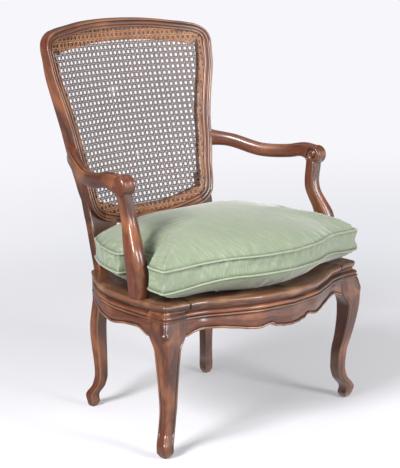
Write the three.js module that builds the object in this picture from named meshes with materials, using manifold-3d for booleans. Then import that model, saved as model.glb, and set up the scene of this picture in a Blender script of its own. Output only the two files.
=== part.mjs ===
// A caned armchair of the serpentine kind with a loose cushion, in millimetres.
// +Z is up, the chair faces -Y and is symmetric about X = 0. While it is built, the rear edge of
// the seat is y = 0. Right-hand pieces are modelled and mirrored to the left.
import * as THREE from 'three';
import Module from 'manifold-3d';
import { mergeVertices } from 'three/addons/utils/BufferGeometryUtils.js';

const wasm = await Module();
wasm.setup();

// Fits shared by every joint.
const clearance = 0.3;
const overrun = 40;
const tenon_root = 4;

// Seat, seen from above: bowed in front, tapered and curved at the sides.
const seat_height = 369;
const seat_half_width = 338;
const seat_side_depth = 409;
const seat_bow = 92;
const seat_rear_half_width = 213;
const corner_inset = 4;
const front_bow_shares = [[0, 0], [0.27, 0.13], [0.51, 0.47], [0.69, 0.77], [0.83, 0.89], [1, 1]];
const side_taper_shares = [[0, 0.03], [0.11, 0], [0.28, 0.01], [0.43, 0.05], [0.63, 0.23], [0.82, 0.58], [1, 1]];

// Caned rim that lies on the rails.
const rim_thickness = 18;
const rim_width = 58;
const rim_round = 4;
const rim_joint_lap = 4;
const rim_corner_cut = 9;
const rim_tongue = 20;
const rim_tongue_width = 30;
const rim_tongue_thickness = 6;
const rim_tail = 12;
const rim_front_stations = 14;
const rim_side_stations = 16;
const opening_stations = 10;

// Rails under the rim: a groove, a bead and a swelling face above a shaped apron.
const rail_thickness = 34;
const rail_groove_inset = 7;
const rail_groove_height = 5;
const rail_bead_inset = 1;
const rail_bead_height = 14;
const rail_face_inset = 5;
const rail_swell_inset = 3;
const front_apron_drop = 89;
const front_apron_rise = 18;
const front_apron_shares = [
  [0, 0], [0.06, 0.05], [0.1, 0.06], [0.125, 0.18], [0.15, 0.23], [0.185, 0.28], [0.205, 0.5], [0.225, 0.68],
  [0.26, 0.69], [0.3, 0.53], [0.34, 0.4], [0.39, 0.36], [0.44, 0.47], [0.48, 0.51], [0.52, 0.64], [0.56, 0.72],
  [0.63, 0.84], [0.68, 0.98], [0.74, 1.03], [0.84, 1.05], [0.93, 0.84], [1, 0.42],
];
const side_apron_drop = 78;
const side_apron_rise = 12;
const side_apron_shares = [[0, -0.2], [0.12, 0.9], [0.25, 0.75], [0.47, 0], [0.65, 0.35], [0.85, 0.9], [1, 1]];
const back_apron_drop = 66;
const back_apron_rise = 8;
const long_stretch_share = 0.065;
const side_rail_stations = 14;
const back_rail_stations = 8;

// Tenons and the pegs through them.
const tenon_thickness = 10;
const tenon_height = 32;
const tenon_length = 27;
const tenon_shoulder = 14;
const peg_diameter = 7;
const peg_depth = 26;
const peg_inset = 12;
const peg_sides = 8;

// Front legs: a square cabriole leg with its arris on the outward diagonal, under a square block.
const leg_block_width = 65;
const leg_block_depth = 64;
const block_chamfer = 14;
const front_foot_inset = 15.2;
const front_foot_setback = 18;
const ear_drop = 81;
const knee_drop = 110;
const ankle_height = 86;
const pad_height = 29;
const contact_width = 20;
const front_knee_reach = 40.5;
const front_ankle_reach = 5.5;
const front_pad_reach = 30;
const front_knee_width = 66;
const front_ankle_width = 42.5;
const front_pad_width = 43;
const front_shin_shares = [[0.22, 0.07, 0.13], [0.5, 0.45, 0.36], [0.82, 0.84, 0.74]];
const front_shank_shift = 7;
const front_ankle_shift_share = 0.7;
const leg_arris_share = 0.06;
const leg_depth_share = 1.03;
const toe_share = 0.86;
const contact_reach_share = 0.65;
const pad_level_shares = [0, 0.11, 0.5, 1, 1.35, 2];
const shin_stations = 6;
const ear_blend_shares = [[0.45, 0.2], [0.8, 0.5]];
const block_bulge_shares = [0.75, 0.35];

// Back posts: rear leg, neck and stile in one piece.
const post_depth = 44;
const post_width = 38;
const post_chamfer = 4;
const rear_foot_inset = 9.5;
const rear_foot_setback = 11;
const rear_knee_height = 208;
const rear_knee_reach = 8;
const rear_ankle_reach = -3;
const rear_pad_reach = 21;
const rear_knee_width = 45;
const rear_ankle_width = 37;
const rear_heel_share = 1.04;
const neck_rise = 191;
const neck_depth = 29;
const neck_back_inset = 8;
const neck_stations = 4;

// Back frame: one outline runs round the whole back, the mouldings follow it inward.
const back_height = 979;
const back_half_width = 277;
const back_gap = 90;
const back_lean_share = 0.263;
const back_setback = 3.7;
const back_curve_radius = 800;
const back_outline_shares = [
  [0, 1], [0.391, 0.993], [0.613, 0.979], [0.776, 0.968], [0.908, 0.952], [0.994, 0.923], [1.036, 0.881],
  [1.043, 0.824], [1.046, 0.749], [1.026, 0.669], [1.002, 0.582], [0.983, 0.491], [0.981, 0.413],
  [0.975, 0.325], [0.96, 0.237], [0.958, 0.158], [0.932, 0.105], [0.842, 0.065], [0.643, 0.035],
  [0.337, 0.01], [0, 0],
];
const back_stations = 60;
const moulding_width = 23;
const moulding_height = 8;
const moulding_round = 3;
const border_side = 12;
const border_top = 33;
const border_bottom = 33;
const border_turn_shares = [0.45, 0.95];
const crest_back = 26;
const stile_back = 43;
const stile_back_shares = [
  [0, 0.5], [0.11, 0.55], [0.22, 0.95], [0.32, 1], [0.49, 0.97], [0.66, 0.72], [0.76, 0.42], [0.85, 0.14], [1, 0],
];
const back_chamfer = 5;
const joint_zone_share = 0.18;
const crest_joint_share = 0.84;
const bottom_joint_share = 0.81;
const bottom_corner_share = 0.055;
const crest_tenon_length = 18;
const crest_tenon_height = 18;
const crest_tenon_thickness = 8;

// Cane panels: a coarse lattice stands for the fine weave.
const cane_thickness = 2.6;
const cane_seating = 0.6;
const back_cane_pitch = 33;
const back_cane_strand = 15;
const seat_cane_pitch = 56;
const seat_cane_strand = 26;
const seat_cane_lap = 12;

// Arms: from the stile out and down, level over the seat and into a rolled end.
const arm_rise = 261;
const arm_root_rise = 286;
const arm_root_inset = 3;
const arm_root_setback = 18;
const arm_dip = 16;
const arm_path_shares = [[0.38, 0.19, -0.19], [0.71, 0.45, -1.18], [0.95, 0.69, -0.8], [1.02, 0.865, 0]];
const arm_width = 30;
const arm_height = 35;
const arm_root_height = 58;
const arm_flare_shares = [[0, 1], [0.04, 0.5], [0.1, 0.16], [0.2, 0], [1, 0]];
const arm_stations = 14;
const arm_tenon_length = 16;
const arm_tenon_size = 12;
const arm_tenon_drop = 9;
const oval_share = 0.25;
const scroll_place_share = 0.347;
const scroll_inset = 3;
const scroll_diameter = 48;
const scroll_width = 33;
const scroll_bevel = 3;
const scroll_sides = 16;

// Arm supports: an S from the rim up into the rolled end.
const support_place_share = 0.259;
const support_top_inset = 13;
const support_top_setback = 8;
const support_path_shares = [[0.17, -0.11, 0.247], [0.25, 0.05, 0.441], [-0.08, 0.73, 0.713]];
const support_foot_depth = 45;
const support_foot_width = 36;
const support_belly_depth = 55;
const support_belly_width = 40;
const support_waist_depth = 36;
const support_waist_width = 31;
const support_head_depth = 41;
const support_head_width = 33;
const support_belly_share = 0.25;
const support_waist_share = 0.8;
const support_round_share = 0.18;
const support_stations = 10;
const support_tenon_depth = 58;
const support_tenon_size = 14;

// Loose cushion: two crowned panels with a boxing between them, notched round the arm supports.
const cushion_gap = 0.3;
const cushion_bottom_seam = 29;
const cushion_boxing = 52;
const cushion_crown = 72;
const cushion_lift = 13;
const cushion_bottom_lift = 20;
const cushion_lift_reach = 200;
const cushion_front_inset = 2;
const cushion_corner_inset = 1;
const cushion_side_inset = 9;
const cushion_rear_gap = 9;
const cushion_corner = 12;
const cushion_ear_reach = 4;
const cushion_drift = 80;
const cushion_belly_shares = [[0.72, 1], [0.86, 0.75], [0.95, 0.38]];
const cushion_crown_shares = [[0.95, 0.23], [0.87, 0.44], [0.72, 0.7], [0.5, 0.91], [0.26, 1]];
const cushion_waist_share = 0.99;
const cushion_front_stations = 8;
const cushion_side_stations = 5;
const cushion_rear_stations = 4;
const notch_gap = 7;
const notch_room = 28;
const notch_fade_shares = [0.08, 0.45];
const piping_diameter = 5;
const piping_sides = 5;

// Colours.
const walnut = 0x7a4426;
const cane_colour = 0x9c7750;
const sage = 0xa9bf99;
const sage_piping = 0xb4caa2;
const peg_colour = 0x4a2817;
const polish_roughness = 0.42;
const cloth_roughness = 0.65;

// A smooth curve through a table of [key, value] rows, without overshoot.
function follow(table) {
  const last = table.length - 1;
  const slope = (i) => (table[i + 1][1] - table[i][1]) / (table[i + 1][0] - table[i][0]);
  const tangent = (i) => {
    if (i === 0) return slope(0);
    if (i === last) return slope(last - 1);
    const before = slope(i - 1);
    const after = slope(i);
    return before * after <= 0 ? 0 : (2 * before * after) / (before + after);
  };
  return (key) => {
    if (key <= table[0][0]) return table[0][1];
    if (key >= table[last][0]) return table[last][1];
    let i = 0;
    while (key > table[i + 1][0]) i += 1;
    const span = table[i + 1][0] - table[i][0];
    const t = (key - table[i][0]) / span;
    const rise = 3 * t * t - 2 * t * t * t;
    const lift = t * (1 - t) * (1 - t) * tangent(i) - t * t * (1 - t) * tangent(i + 1);
    return table[i][1] * (1 - rise) + table[i + 1][1] * rise + lift * span;
  };
}

const lerp = THREE.MathUtils.lerp;

function steps(from, to, count) {
  return Array.from({ length: count + 1 }, (_, i) => lerp(from, to, i / count));
}

// Triangles that fill a flat ring, wound as the ring runs.
function fill(ring) {
  const normal = new THREE.Vector3();
  ring.forEach((p, i) => normal.add(p.clone().cross(ring[(i + 1) % ring.length])));
  const turn = new THREE.Quaternion().setFromUnitVectors(normal.normalize(), new THREE.Vector3(0, 0, 1));
  const flat = ring.map((p) => {
    const q = p.clone().applyQuaternion(turn);
    return new THREE.Vector2(q.x, q.y);
  });
  return THREE.ShapeUtils.triangulateShape(flat, []).map(([a, b, c]) => {
    const ab = flat[b].clone().sub(flat[a]);
    const ac = flat[c].clone().sub(flat[a]);
    return ab.cross(ac) > 0 ? [a, b, c] : [a, c, b];
  });
}

// A closed body through rings with equal numbers of points. A looped body joins its last ring to its first.
function loft(rings, looped = false) {
  const count = rings[0].length;
  const index = [];
  const joins = looped ? rings.length : rings.length - 1;
  for (let r = 0; r < joins; r += 1) {
    const low = r * count;
    const high = ((r + 1) % rings.length) * count;
    for (let i = 0; i < count; i += 1) {
      const j = (i + 1) % count;
      index.push(low + i, low + j, high + j, low + i, high + j, high + i);
    }
  }
  if (!looped) {
    const top = (rings.length - 1) * count;
    fill(rings[0]).forEach(([a, b, c]) => index.push(a, c, b));
    fill(rings[rings.length - 1]).forEach(([a, b, c]) => index.push(top + a, top + b, top + c));
  }
  const geometry = new THREE.BufferGeometry();
  const positions = rings.flat().flatMap((p) => [p.x, p.y, p.z]);
  geometry.setAttribute('position', new THREE.Float32BufferAttribute(positions, 3));
  geometry.setIndex(index);
  return outward(geometry);
}

function outward(geometry) {
  const p = geometry.getAttribute('position');
  const index = geometry.getIndex().array;
  const at = (i) => new THREE.Vector3().fromBufferAttribute(p, index[i]);
  let volume = 0;
  for (let i = 0; i < index.length; i += 3) volume += at(i).dot(at(i + 1).cross(at(i + 2)));
  if (volume < 0) {
    for (let i = 0; i < index.length; i += 3) [index[i + 1], index[i + 2]] = [index[i + 2], index[i + 1]];
  }
  return geometry;
}

function solid(geometry) {
  const bare = geometry.clone();
  bare.deleteAttribute('normal');
  bare.deleteAttribute('uv');
  const merged = mergeVertices(bare);
  const vertProperties = new Float32Array(merged.getAttribute('position').array);
  const triVerts = new Uint32Array(merged.getIndex().array);
  return new wasm.Manifold(new wasm.Mesh({ numProp: 3, vertProperties, triVerts }));
}

// The largest body that a cut leaves.
function main_body(manifold) {
  return manifold.decompose().reduce((best, body) => (body.volume() > best.volume() ? body : best));
}

function shape_of(manifold) {
  const mesh = manifold.getMesh();
  const geometry = new THREE.BufferGeometry();
  geometry.setAttribute('position', new THREE.Float32BufferAttribute(mesh.vertProperties, 3));
  geometry.setIndex([...mesh.triVerts]);
  return geometry;
}

function mirrored(geometry) {
  const copy = geometry.clone();
  copy.scale(-1, 1, 1);
  return outward(copy);
}

// An upright block between two corners, grown on every side.
function block(low, high, grow = 0) {
  const size = high.clone().sub(low).addScalar(2 * grow);
  const geometry = new THREE.BoxGeometry(size.x, size.y, size.z);
  const middle = low.clone().add(high).multiplyScalar(0.5);
  geometry.translate(middle.x, middle.y, middle.z);
  return solid(geometry);
}

const at = (x, y, z) => new THREE.Vector3(x, y, z);

// A body with a flat outline in plan, between two heights.
function plan_body(points, low, high, round = 0) {
  const outline = new THREE.Shape(points.map((p) => new THREE.Vector2(p.x, p.y)));
  const geometry = new THREE.ExtrudeGeometry(outline, {
    depth: high - low - 2 * round,
    bevelEnabled: round > 0,
    bevelThickness: round,
    bevelSize: round,
    bevelOffset: -round,
    bevelSegments: 1,
  });
  geometry.translate(0, 0, low + round);
  return solid(geometry);
}

// Plan of the seat.
const corner_half_width = seat_half_width - corner_inset;
const corner_front = -seat_side_depth;
const front_joint = corner_half_width - leg_block_width;
const side_joint = corner_front + leg_block_depth;
const rim_joint = front_joint - rim_joint_lap;
const rim_bottom = seat_height - rim_thickness;
const rail_top = rim_bottom - clearance;
const post_front = -post_depth;
const post_inner = seat_rear_half_width - post_width;
const bow_share = follow(front_bow_shares);
const taper_share = follow(side_taper_shares);
const front_edge = (x) => corner_front - seat_bow * (1 - bow_share(Math.abs(x) / corner_half_width));
const side_edge = (y) => {
  return lerp(seat_half_width, seat_rear_half_width, taper_share((y - corner_front) / seat_side_depth));
};

// A place behind the side edge, measured square to the edge.
function side_inset(y, inset) {
  const slant = (side_edge(y + rail_face_inset) - side_edge(y - rail_face_inset)) / (2 * rail_face_inset);
  return side_edge(y) - inset * Math.hypot(1, slant);
}

// A rail section: depth behind the seat edge and height, from the groove under the rim round to the inner top.
function rail_section(bottom) {
  const groove = rail_top - rail_groove_height;
  const bead = groove - rail_bead_height;
  const middle = (bead + bottom) / 2;
  return [
    [rail_groove_inset, rail_top],
    [rail_groove_inset, groove],
    [rail_bead_inset, groove - rail_bead_inset],
    [rail_bead_inset, bead],
    [rail_face_inset, bead - rail_bead_inset],
    [rail_swell_inset, middle],
    [rail_face_inset + rail_bead_inset, bottom],
    [rail_thickness, bottom],
    [rail_thickness, rail_top],
  ];
}

const front_apron = follow(front_apron_shares);
const side_apron = follow(side_apron_shares);
const front_rail_bottom = (x) => {
  return seat_height - front_apron_drop + front_apron_rise * front_apron(Math.abs(x) / front_joint);
};
const side_rail_bottom = (y) => {
  const share = (y - side_joint) / (post_front - side_joint);
  return seat_height - side_apron_drop + side_apron_rise * side_apron(share);
};

// Stations lie at the turns of the apron, with one more in the middle of each long stretch.
function front_rail() {
  const end = front_joint - clearance;
  const half = front_apron_shares.flatMap(([share], i) => {
    const next = front_apron_shares[Math.min(i + 1, front_apron_shares.length - 1)][0];
    return next - share > long_stretch_share ? [share, (share + next) / 2] : [share];
  });
  const places = half.slice(1).reverse().map((share) => -share).concat(half);
  const rings = places.map((share) => {
    const x = share * end;
    return rail_section(front_rail_bottom(x)).map(([inset, z]) => at(x, front_edge(x) + inset, z));
  });
  return solid(loft(rings));
}

// The side rail follows the seat edge, its ends lie across the front and rear joints.
function side_rail() {
  const rings = steps(side_joint + clearance, post_front - clearance, side_rail_stations).map((y) => {
    return rail_section(side_rail_bottom(y)).map(([inset, z]) => at(side_inset(y, inset), y, z));
  });
  return solid(loft(rings));
}

function back_rail() {
  const end = post_inner - post_chamfer - clearance;
  const rings = steps(-end, end, back_rail_stations).map((x) => {
    const share = Math.abs(x) / end;
    const bottom = seat_height - back_apron_drop + back_apron_rise * (1 - share * share);
    const back = -rail_bead_inset;
    return [
      at(x, back, rail_top),
      at(x, back, bottom),
      at(x, back - rail_thickness, bottom),
      at(x, back - rail_thickness, rail_top),
    ];
  });
  return solid(loft(rings));
}

// A ring of eight points: four corners, each cut by a share of its sides.
function clipped(corners, share) {
  return corners.flatMap((corner, i) => {
    const before = corners[(i + 3) % 4];
    const after = corners[(i + 1) % 4];
    return [corner.clone().lerp(before, share), corner.clone().lerp(after, share)];
  });
}

// A leg section with one corner on the outward diagonal. Side is -1 in front and 1 at the rear.
function leg_ring(foot, side, reach, width, depth, shift, z) {
  const out = at(Math.SQRT1_2, side * Math.SQRT1_2, 0);
  const across = at(Math.SQRT1_2, -side * Math.SQRT1_2, 0);
  const middle = foot.clone().addScaledVector(across, -shift).addScaledVector(out, reach - depth / 2);
  const corners = [
    middle.clone().addScaledVector(out, depth / 2),
    middle.clone().addScaledVector(across, width / 2),
    middle.clone().addScaledVector(out, -depth / 2),
    middle.clone().addScaledVector(across, -width / 2),
  ];
  corners.forEach((corner) => corner.setZ(z));
  return clipped(corners, leg_arris_share);
}

function blend(from, to, share, z) {
  return from.map((p, i) => p.clone().lerp(to[i], share).setZ(z));
}

// Reach, width, depth and shift of a leg at a height, from rows of [height, reach, width, depth, shift].
function leg_sections(foot, side, rows) {
  const columns = [1, 2, 3, 4].map((column) => follow(rows.map((row) => [row[0], row[column]])));
  return (z) => leg_ring(foot, side, ...columns.map((column) => column(z)), z);
}

const pad_levels = pad_level_shares.map((share) => share * pad_height);

function front_leg() {
  const foot = at(corner_half_width - front_foot_inset, corner_front + front_foot_setback, 0);
  const knee = seat_height - knee_drop;
  const ear = seat_height - ear_drop;
  const shift = front_shank_shift;
  const ankle_shift = shift * front_ankle_shift_share;
  const shin = front_shin_shares.map(([up, reach, width]) => {
    const w = lerp(front_ankle_width, front_knee_width, width);
    return [lerp(ankle_height, knee, up), lerp(front_ankle_reach, front_knee_reach, reach), w, w, shift];
  });
  const section = leg_sections(foot, -1, [
    [0, contact_width * contact_reach_share, contact_width, contact_width * leg_depth_share, 0],
    [pad_height / 2, front_pad_reach * toe_share, front_pad_width, front_pad_width, 0],
    [pad_height, front_pad_reach, front_pad_width, front_pad_width * leg_depth_share, 0],
    [pad_height * 2, front_ankle_reach * 2, front_ankle_width, front_ankle_width * leg_depth_share, ankle_shift / 2],
    [ankle_height, front_ankle_reach, front_ankle_width, front_ankle_width * leg_depth_share, ankle_shift],
    ...shin,
    [knee, front_knee_reach, front_knee_width, front_knee_width, shift],
  ]);
  const corner = at(corner_half_width, corner_front, 0);
  const inner_x = corner.x - rail_thickness;
  const inner_y = corner.y + rail_thickness;
  const block_ring = (z, bulge) => {
    const swell = (corner_half_width - foot.x) * bulge;
    return [
      at(corner.x - rim_corner_cut + swell, corner.y - swell, z),
      at(corner.x + swell, corner.y + rim_corner_cut - swell, z),
      at(side_inset(side_joint, rail_face_inset), side_joint, z),
      at(side_inset(side_joint, rail_thickness), side_joint, z),
      at(inner_x, inner_y + block_chamfer, z),
      at(inner_x - block_chamfer, inner_y, z),
      at(front_joint, front_edge(front_joint) + rail_thickness, z),
      at(front_joint, front_edge(front_joint) + rail_face_inset, z),
    ];
  };
  const bead = rail_top - rail_groove_height - rail_bead_height;
  const kite = section(knee);
  const [waist_bulge, bead_bulge] = block_bulge_shares;
  return solid(loft([
    ...pad_levels.map(section),
    ...steps(ankle_height, knee, shin_stations).map(section),
    ...ear_blend_shares.map(([up, share]) => blend(kite, block_ring(ear, 1), share, lerp(knee, ear, up))),
    block_ring(ear, 1),
    block_ring((ear + bead) / 2, waist_bulge),
    block_ring(bead, bead_bulge),
    block_ring(rail_top, 0),
  ]));
}

// Front face of the back at a place in front view: a leaning cylinder, hollow towards the sitter.
const post_middle = (post_inner + seat_rear_half_width) / 2;
const back_set = post_front + back_setback + (post_middle * post_middle) / (2 * back_curve_radius);
const back_face = (x, z) => {
  return back_set + back_lean_share * (z - seat_height) - (x * x) / (2 * back_curve_radius);
};
const back_bottom = seat_height + back_gap;
const neck_top = seat_height + neck_rise;
const neck_front = back_face(post_inner, seat_height);

function post_leg() {
  const foot = at(seat_rear_half_width - rear_foot_inset, rear_foot_setback, 0);
  const ear = seat_height - back_apron_drop;
  const top_of_leg = ear - rim_thickness;
  const ankle_width = rear_ankle_width;
  const section = leg_sections(foot, 1, [
    [0, contact_width / 2, contact_width, contact_width, 0],
    [pad_height / 2, rear_pad_reach * toe_share, ankle_width, ankle_width, 0],
    [pad_height, rear_pad_reach, ankle_width * rear_heel_share, ankle_width * rear_heel_share, 0],
    [pad_height * 2, (rear_ankle_reach * 3 + rear_pad_reach) / 4, ankle_width, ankle_width, 0],
    [ankle_height, rear_ankle_reach, ankle_width, ankle_width, 0],
    [rear_knee_height, rear_knee_reach, rear_knee_width, rear_knee_width * rear_heel_share, 0],
    [top_of_leg, 0, rear_knee_width, rear_knee_width, 0],
  ]);
  const joint_x = post_inner - post_chamfer;
  const ear_ring = (z) => [
    at(seat_rear_half_width - post_chamfer, 0, z),
    at(seat_rear_half_width, -post_chamfer, z),
    at(side_inset(post_front, rail_face_inset), post_front, z),
    at(side_inset(post_front, rail_thickness), post_front, z),
    at(post_inner + post_chamfer, post_front, z),
    at(joint_x, post_front + post_chamfer * 2, z),
    at(joint_x, -post_chamfer * 2, z),
    at(joint_x + post_chamfer, -rail_bead_inset, z),
  ];
  const neck_ring = (z, depth) => {
    const rise = Math.max(0, z - seat_height);
    const inner = post_inner + (post_chamfer * 2 * rise) / neck_rise;
    const front = neck_front + back_lean_share * rise;
    const corners = [
      at(seat_rear_half_width, front + depth, z),
      at(seat_rear_half_width, front, z),
      at(inner, front, z),
      at(inner, front + depth, z),
    ];
    return clipped(corners, leg_arris_share);
  };
  const full = -neck_front - neck_back_inset;
  const [, [ear_rise, ear_share]] = ear_blend_shares;
  return solid(loft([
    ...pad_levels.map(section),
    ...steps(ankle_height, top_of_leg, shin_stations).map(section),
    blend(section(top_of_leg), ear_ring(ear), ear_share, lerp(top_of_leg, ear, ear_rise)),
    ear_ring(ear),
    ear_ring(rail_top),
    neck_ring(rail_top, full),
    ...steps(seat_height, neck_top, neck_stations).map((z) => {
      return neck_ring(z, lerp(full, neck_depth, (z - seat_height) / neck_rise));
    }),
  ]));
}

// Stations round the closed back outline, with the inward direction at each.
function back_loop() {
  const half = back_outline_shares.map(([x, z]) => {
    return at(x * lerp(seat_rear_half_width, back_half_width, z), 0, lerp(back_bottom, back_height, z));
  });
  const other = half.slice(1, -1).reverse().map((p) => at(-p.x, 0, p.z));
  const curve = new THREE.CatmullRomCurve3(half.concat(other), true, 'centripetal');
  const places = curve.getSpacedPoints(back_stations).slice(0, -1);
  return places.map((p, i) => {
    const before = places[(i + back_stations - 1) % back_stations];
    const after = places[(i + 1) % back_stations];
    const run = after.clone().sub(before).normalize();
    return { p, inward: at(-run.z, 0, run.x).multiplyScalar(-1) };
  });
}

const back_places = back_loop();
const back_middle = (back_bottom + back_height) / 2;

// Half the width of the back at a height.
function back_edge(z) {
  const crossings = back_places.flatMap(({ p }, i) => {
    const next = back_places[(i + 1) % back_places.length].p;
    return (p.z > z) !== (next.z > z) ? [lerp(p.x, next.x, (z - p.z) / (next.z - p.z))] : [];
  });
  return Math.max(...crossings);
}

// Height of the back's top edge over a place across.
function back_top(x) {
  const crossings = back_places.flatMap(({ p }, i) => {
    const next = back_places[(i + 1) % back_places.length].p;
    return (p.x > x) !== (next.x > x) ? [lerp(p.z, next.z, (x - p.x) / (next.x - p.x))] : [];
  });
  return Math.max(...crossings);
}

// How far a place of the outline faces sideways or up, from 0 to 1.
const turned = (part) => THREE.MathUtils.smoothstep(Math.abs(part), ...border_turn_shares);

// The wood between the moulding and the opening: wide under the crest, narrow at the sides.
function border(place) {
  const wide = place.inward.z < 0 ? border_top : border_bottom;
  return lerp(border_side, wide, turned(place.inward.z));
}

// How far the wood reaches behind the cane: deep at the foot of the stiles, thin at the crest.
const back_share = follow(stile_back_shares);
function wood_back(place) {
  const share = back_share((place.p.z - back_bottom) / (back_height - back_bottom));
  return lerp(crest_back, stile_back, share * turned(place.inward.x));
}

const on_back = (place, inset, depth) => {
  const q = place.p.clone().addScaledVector(place.inward, inset);
  return at(q.x, back_face(q.x, q.z) + depth, q.z);
};

function back_frame(grow = 0) {
  const rings = back_places.map((place) => {
    const opening = moulding_width + border(place);
    const round = moulding_round;
    const behind = wood_back(place);
    return [
      on_back(place, -grow, -moulding_height + round - grow),
      on_back(place, round, -moulding_height - grow),
      on_back(place, moulding_width - round / 2, -moulding_height - grow),
      on_back(place, moulding_width + grow, -moulding_height + round - grow),
      on_back(place, moulding_width + grow, -grow),
      on_back(place, opening + grow, -grow),
      on_back(place, opening + grow, behind - back_chamfer + grow),
      on_back(place, opening - back_chamfer, behind + grow),
      on_back(place, back_chamfer, behind + grow),
      on_back(place, -grow, behind - back_chamfer + grow),
    ];
  });
  return solid(loft(rings, true));
}

// A square lattice over a surface: open cells have a square hole, the others are plain.
function lattice(columns, rows, pitch, strand, surface, open) {
  const positions = [];
  const index = [];
  const hole = (pitch - strand) / 2;
  const sheet = [surface.front, surface.back];
  const corner = (i, j) => [(i - columns / 2) * pitch, (j - rows / 2) * pitch];
  const add = (u, v, side) => {
    const p = sheet[side](u, v);
    positions.push(p.x, p.y, p.z);
    return positions.length / 3 - 1;
  };
  const grid = [0, 1].map((side) => {
    return Array.from({ length: columns + 1 }, (_, i) => {
      return Array.from({ length: rows + 1 }, (__, j) => add(...corner(i, j), side));
    });
  });
  const quad = (a, b, c, d) => index.push(a, b, c, a, c, d);
  for (let i = 0; i < columns; i += 1) {
    for (let j = 0; j < rows; j += 1) {
      const outer = [0, 1].map((side) => {
        const g = grid[side];
        return [g[i][j], g[i + 1][j], g[i + 1][j + 1], g[i][j + 1]];
      });
      const [u, v] = corner(i + 0.5, j + 0.5);
      if (!open(u, v)) {
        quad(...outer[0]);
        quad(...[...outer[1]].reverse());
      } else {
        const turns = [[-1, -1], [1, -1], [1, 1], [-1, 1]];
        const inner = [0, 1].map((side) => turns.map(([a, b]) => add(u + a * hole, v + b * hole, side)));
        for (let k = 0; k < 4; k += 1) {
          const n = (k + 1) % 4;
          quad(outer[0][k], outer[0][n], inner[0][n], inner[0][k]);
          quad(outer[1][n], outer[1][k], inner[1][k], inner[1][n]);
          quad(inner[0][k], inner[0][n], inner[1][n], inner[1][k]);
        }
      }
    }
  }
  const rim = [];
  for (let i = 0; i < columns; i += 1) rim.push([i, 0, i + 1, 0]);
  for (let j = 0; j < rows; j += 1) rim.push([columns, j, columns, j + 1]);
  for (let i = columns; i > 0; i -= 1) rim.push([i, rows, i - 1, rows]);
  for (let j = rows; j > 0; j -= 1) rim.push([0, j, 0, j - 1]);
  rim.forEach(([a, b, c, d]) => quad(grid[0][c][d], grid[0][a][b], grid[1][a][b], grid[1][c][d]));
  const geometry = new THREE.BufferGeometry();
  geometry.setAttribute('position', new THREE.Float32BufferAttribute(positions, 3));
  geometry.setIndex(index);
  return solid(outward(geometry));
}

function inside(points, u, v) {
  let within = false;
  points.forEach(([x, y], i) => {
    const [nx, ny] = points[(i + 1) % points.length];
    if ((y > v) !== (ny > v) && u < ((nx - x) * (v - y)) / (ny - y) + x) within = !within;
  });
  return within;
}

// True where a square of half the hole's width round the place lies inside the outline.
function hole_fits(points, u, v, half) {
  return [[-1, -1], [1, -1], [1, 1], [-1, 1]].every(([a, b]) => inside(points, u + a * half, v + b * half));
}

function back_cane() {
  const edge = back_places.map((place) => {
    const q = place.p.clone().addScaledVector(place.inward, moulding_width + clearance * 2);
    return [q.x, q.z];
  });
  const opening = back_places.map((place) => {
    const q = place.p.clone().addScaledVector(place.inward, moulding_width + border(place));
    return [q.x, q.z];
  });
  const columns = 2 * Math.ceil(back_half_width / back_cane_pitch);
  const rows = Math.ceil((back_height - back_bottom) / back_cane_pitch);
  const surface = {
    front: (u, v) => at(u, back_face(u, v + back_middle) - cane_seating - cane_thickness, v + back_middle),
    back: (u, v) => at(u, back_face(u, v + back_middle) - cane_seating, v + back_middle),
  };
  const half = (back_cane_pitch - back_cane_strand) / 2;
  const open = (u, v) => hole_fits(opening, u, v + back_middle, half);
  const net = lattice(columns, rows, back_cane_pitch, back_cane_strand, surface, open);
  const outline = new THREE.Shape(edge.map(([x, z]) => new THREE.Vector2(x, z)));
  const depth = back_height;
  const prism = new THREE.ExtrudeGeometry(outline, { depth, bevelEnabled: false });
  prism.rotateX(Math.PI / 2);
  prism.translate(0, depth, 0);
  return net.intersect(solid(prism));
}

// Outlines of the seat, from the middle of the front round the right-hand side to the middle of the back.
function seat_outline(inset) {
  const front = steps(0, corner_half_width - rim_corner_cut, rim_front_stations)
    .map((x) => at(x, front_edge(x), 0));
  const side = steps(corner_front + rim_corner_cut, 0, rim_side_stations).map((y) => at(side_edge(y), y, 0));
  const half = front.concat(side);
  return half.map((p, i) => {
    const before = half[Math.max(i - 1, 0)];
    const after = half[Math.min(i + 1, half.length - 1)];
    const run = after.clone().sub(before).normalize();
    const inward = at(-run.y, run.x, 0);
    return p.clone().addScaledVector(inward, inset);
  });
}

function both_halves(half) {
  const left = half.filter((p) => p.x > clearance).map((p) => at(-p.x, p.y, p.z));
  return half.concat(left.reverse());
}

function seat_opening(grow) {
  const inset = rim_width - grow;
  const corner = corner_front + inset + rim_corner_cut;
  const front = steps(0, corner_half_width - inset, opening_stations)
    .map((x) => at(x, front_edge(x) + inset, 0));
  const side = steps(corner, grow - rim_width, opening_stations).map((y) => at(side_edge(y) - inset, y, 0));
  return front.concat(side).filter((p, i, all) => i === 0 || p.y > all[i - 1].y + clearance || p.x > all[i - 1].x);
}

function rim_frame() {
  const outer = both_halves(seat_outline(0));
  const frame = plan_body(outer, rim_bottom, seat_height, rim_round);
  const hole = plan_body(both_halves(seat_opening(0)), rim_bottom - overrun, seat_height + overrun);
  const bed = plan_body(
    both_halves(seat_opening(seat_cane_lap + clearance)),
    seat_height - cane_thickness - clearance,
    seat_height + overrun,
  );
  return frame.subtract(hole).subtract(bed);
}

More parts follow.
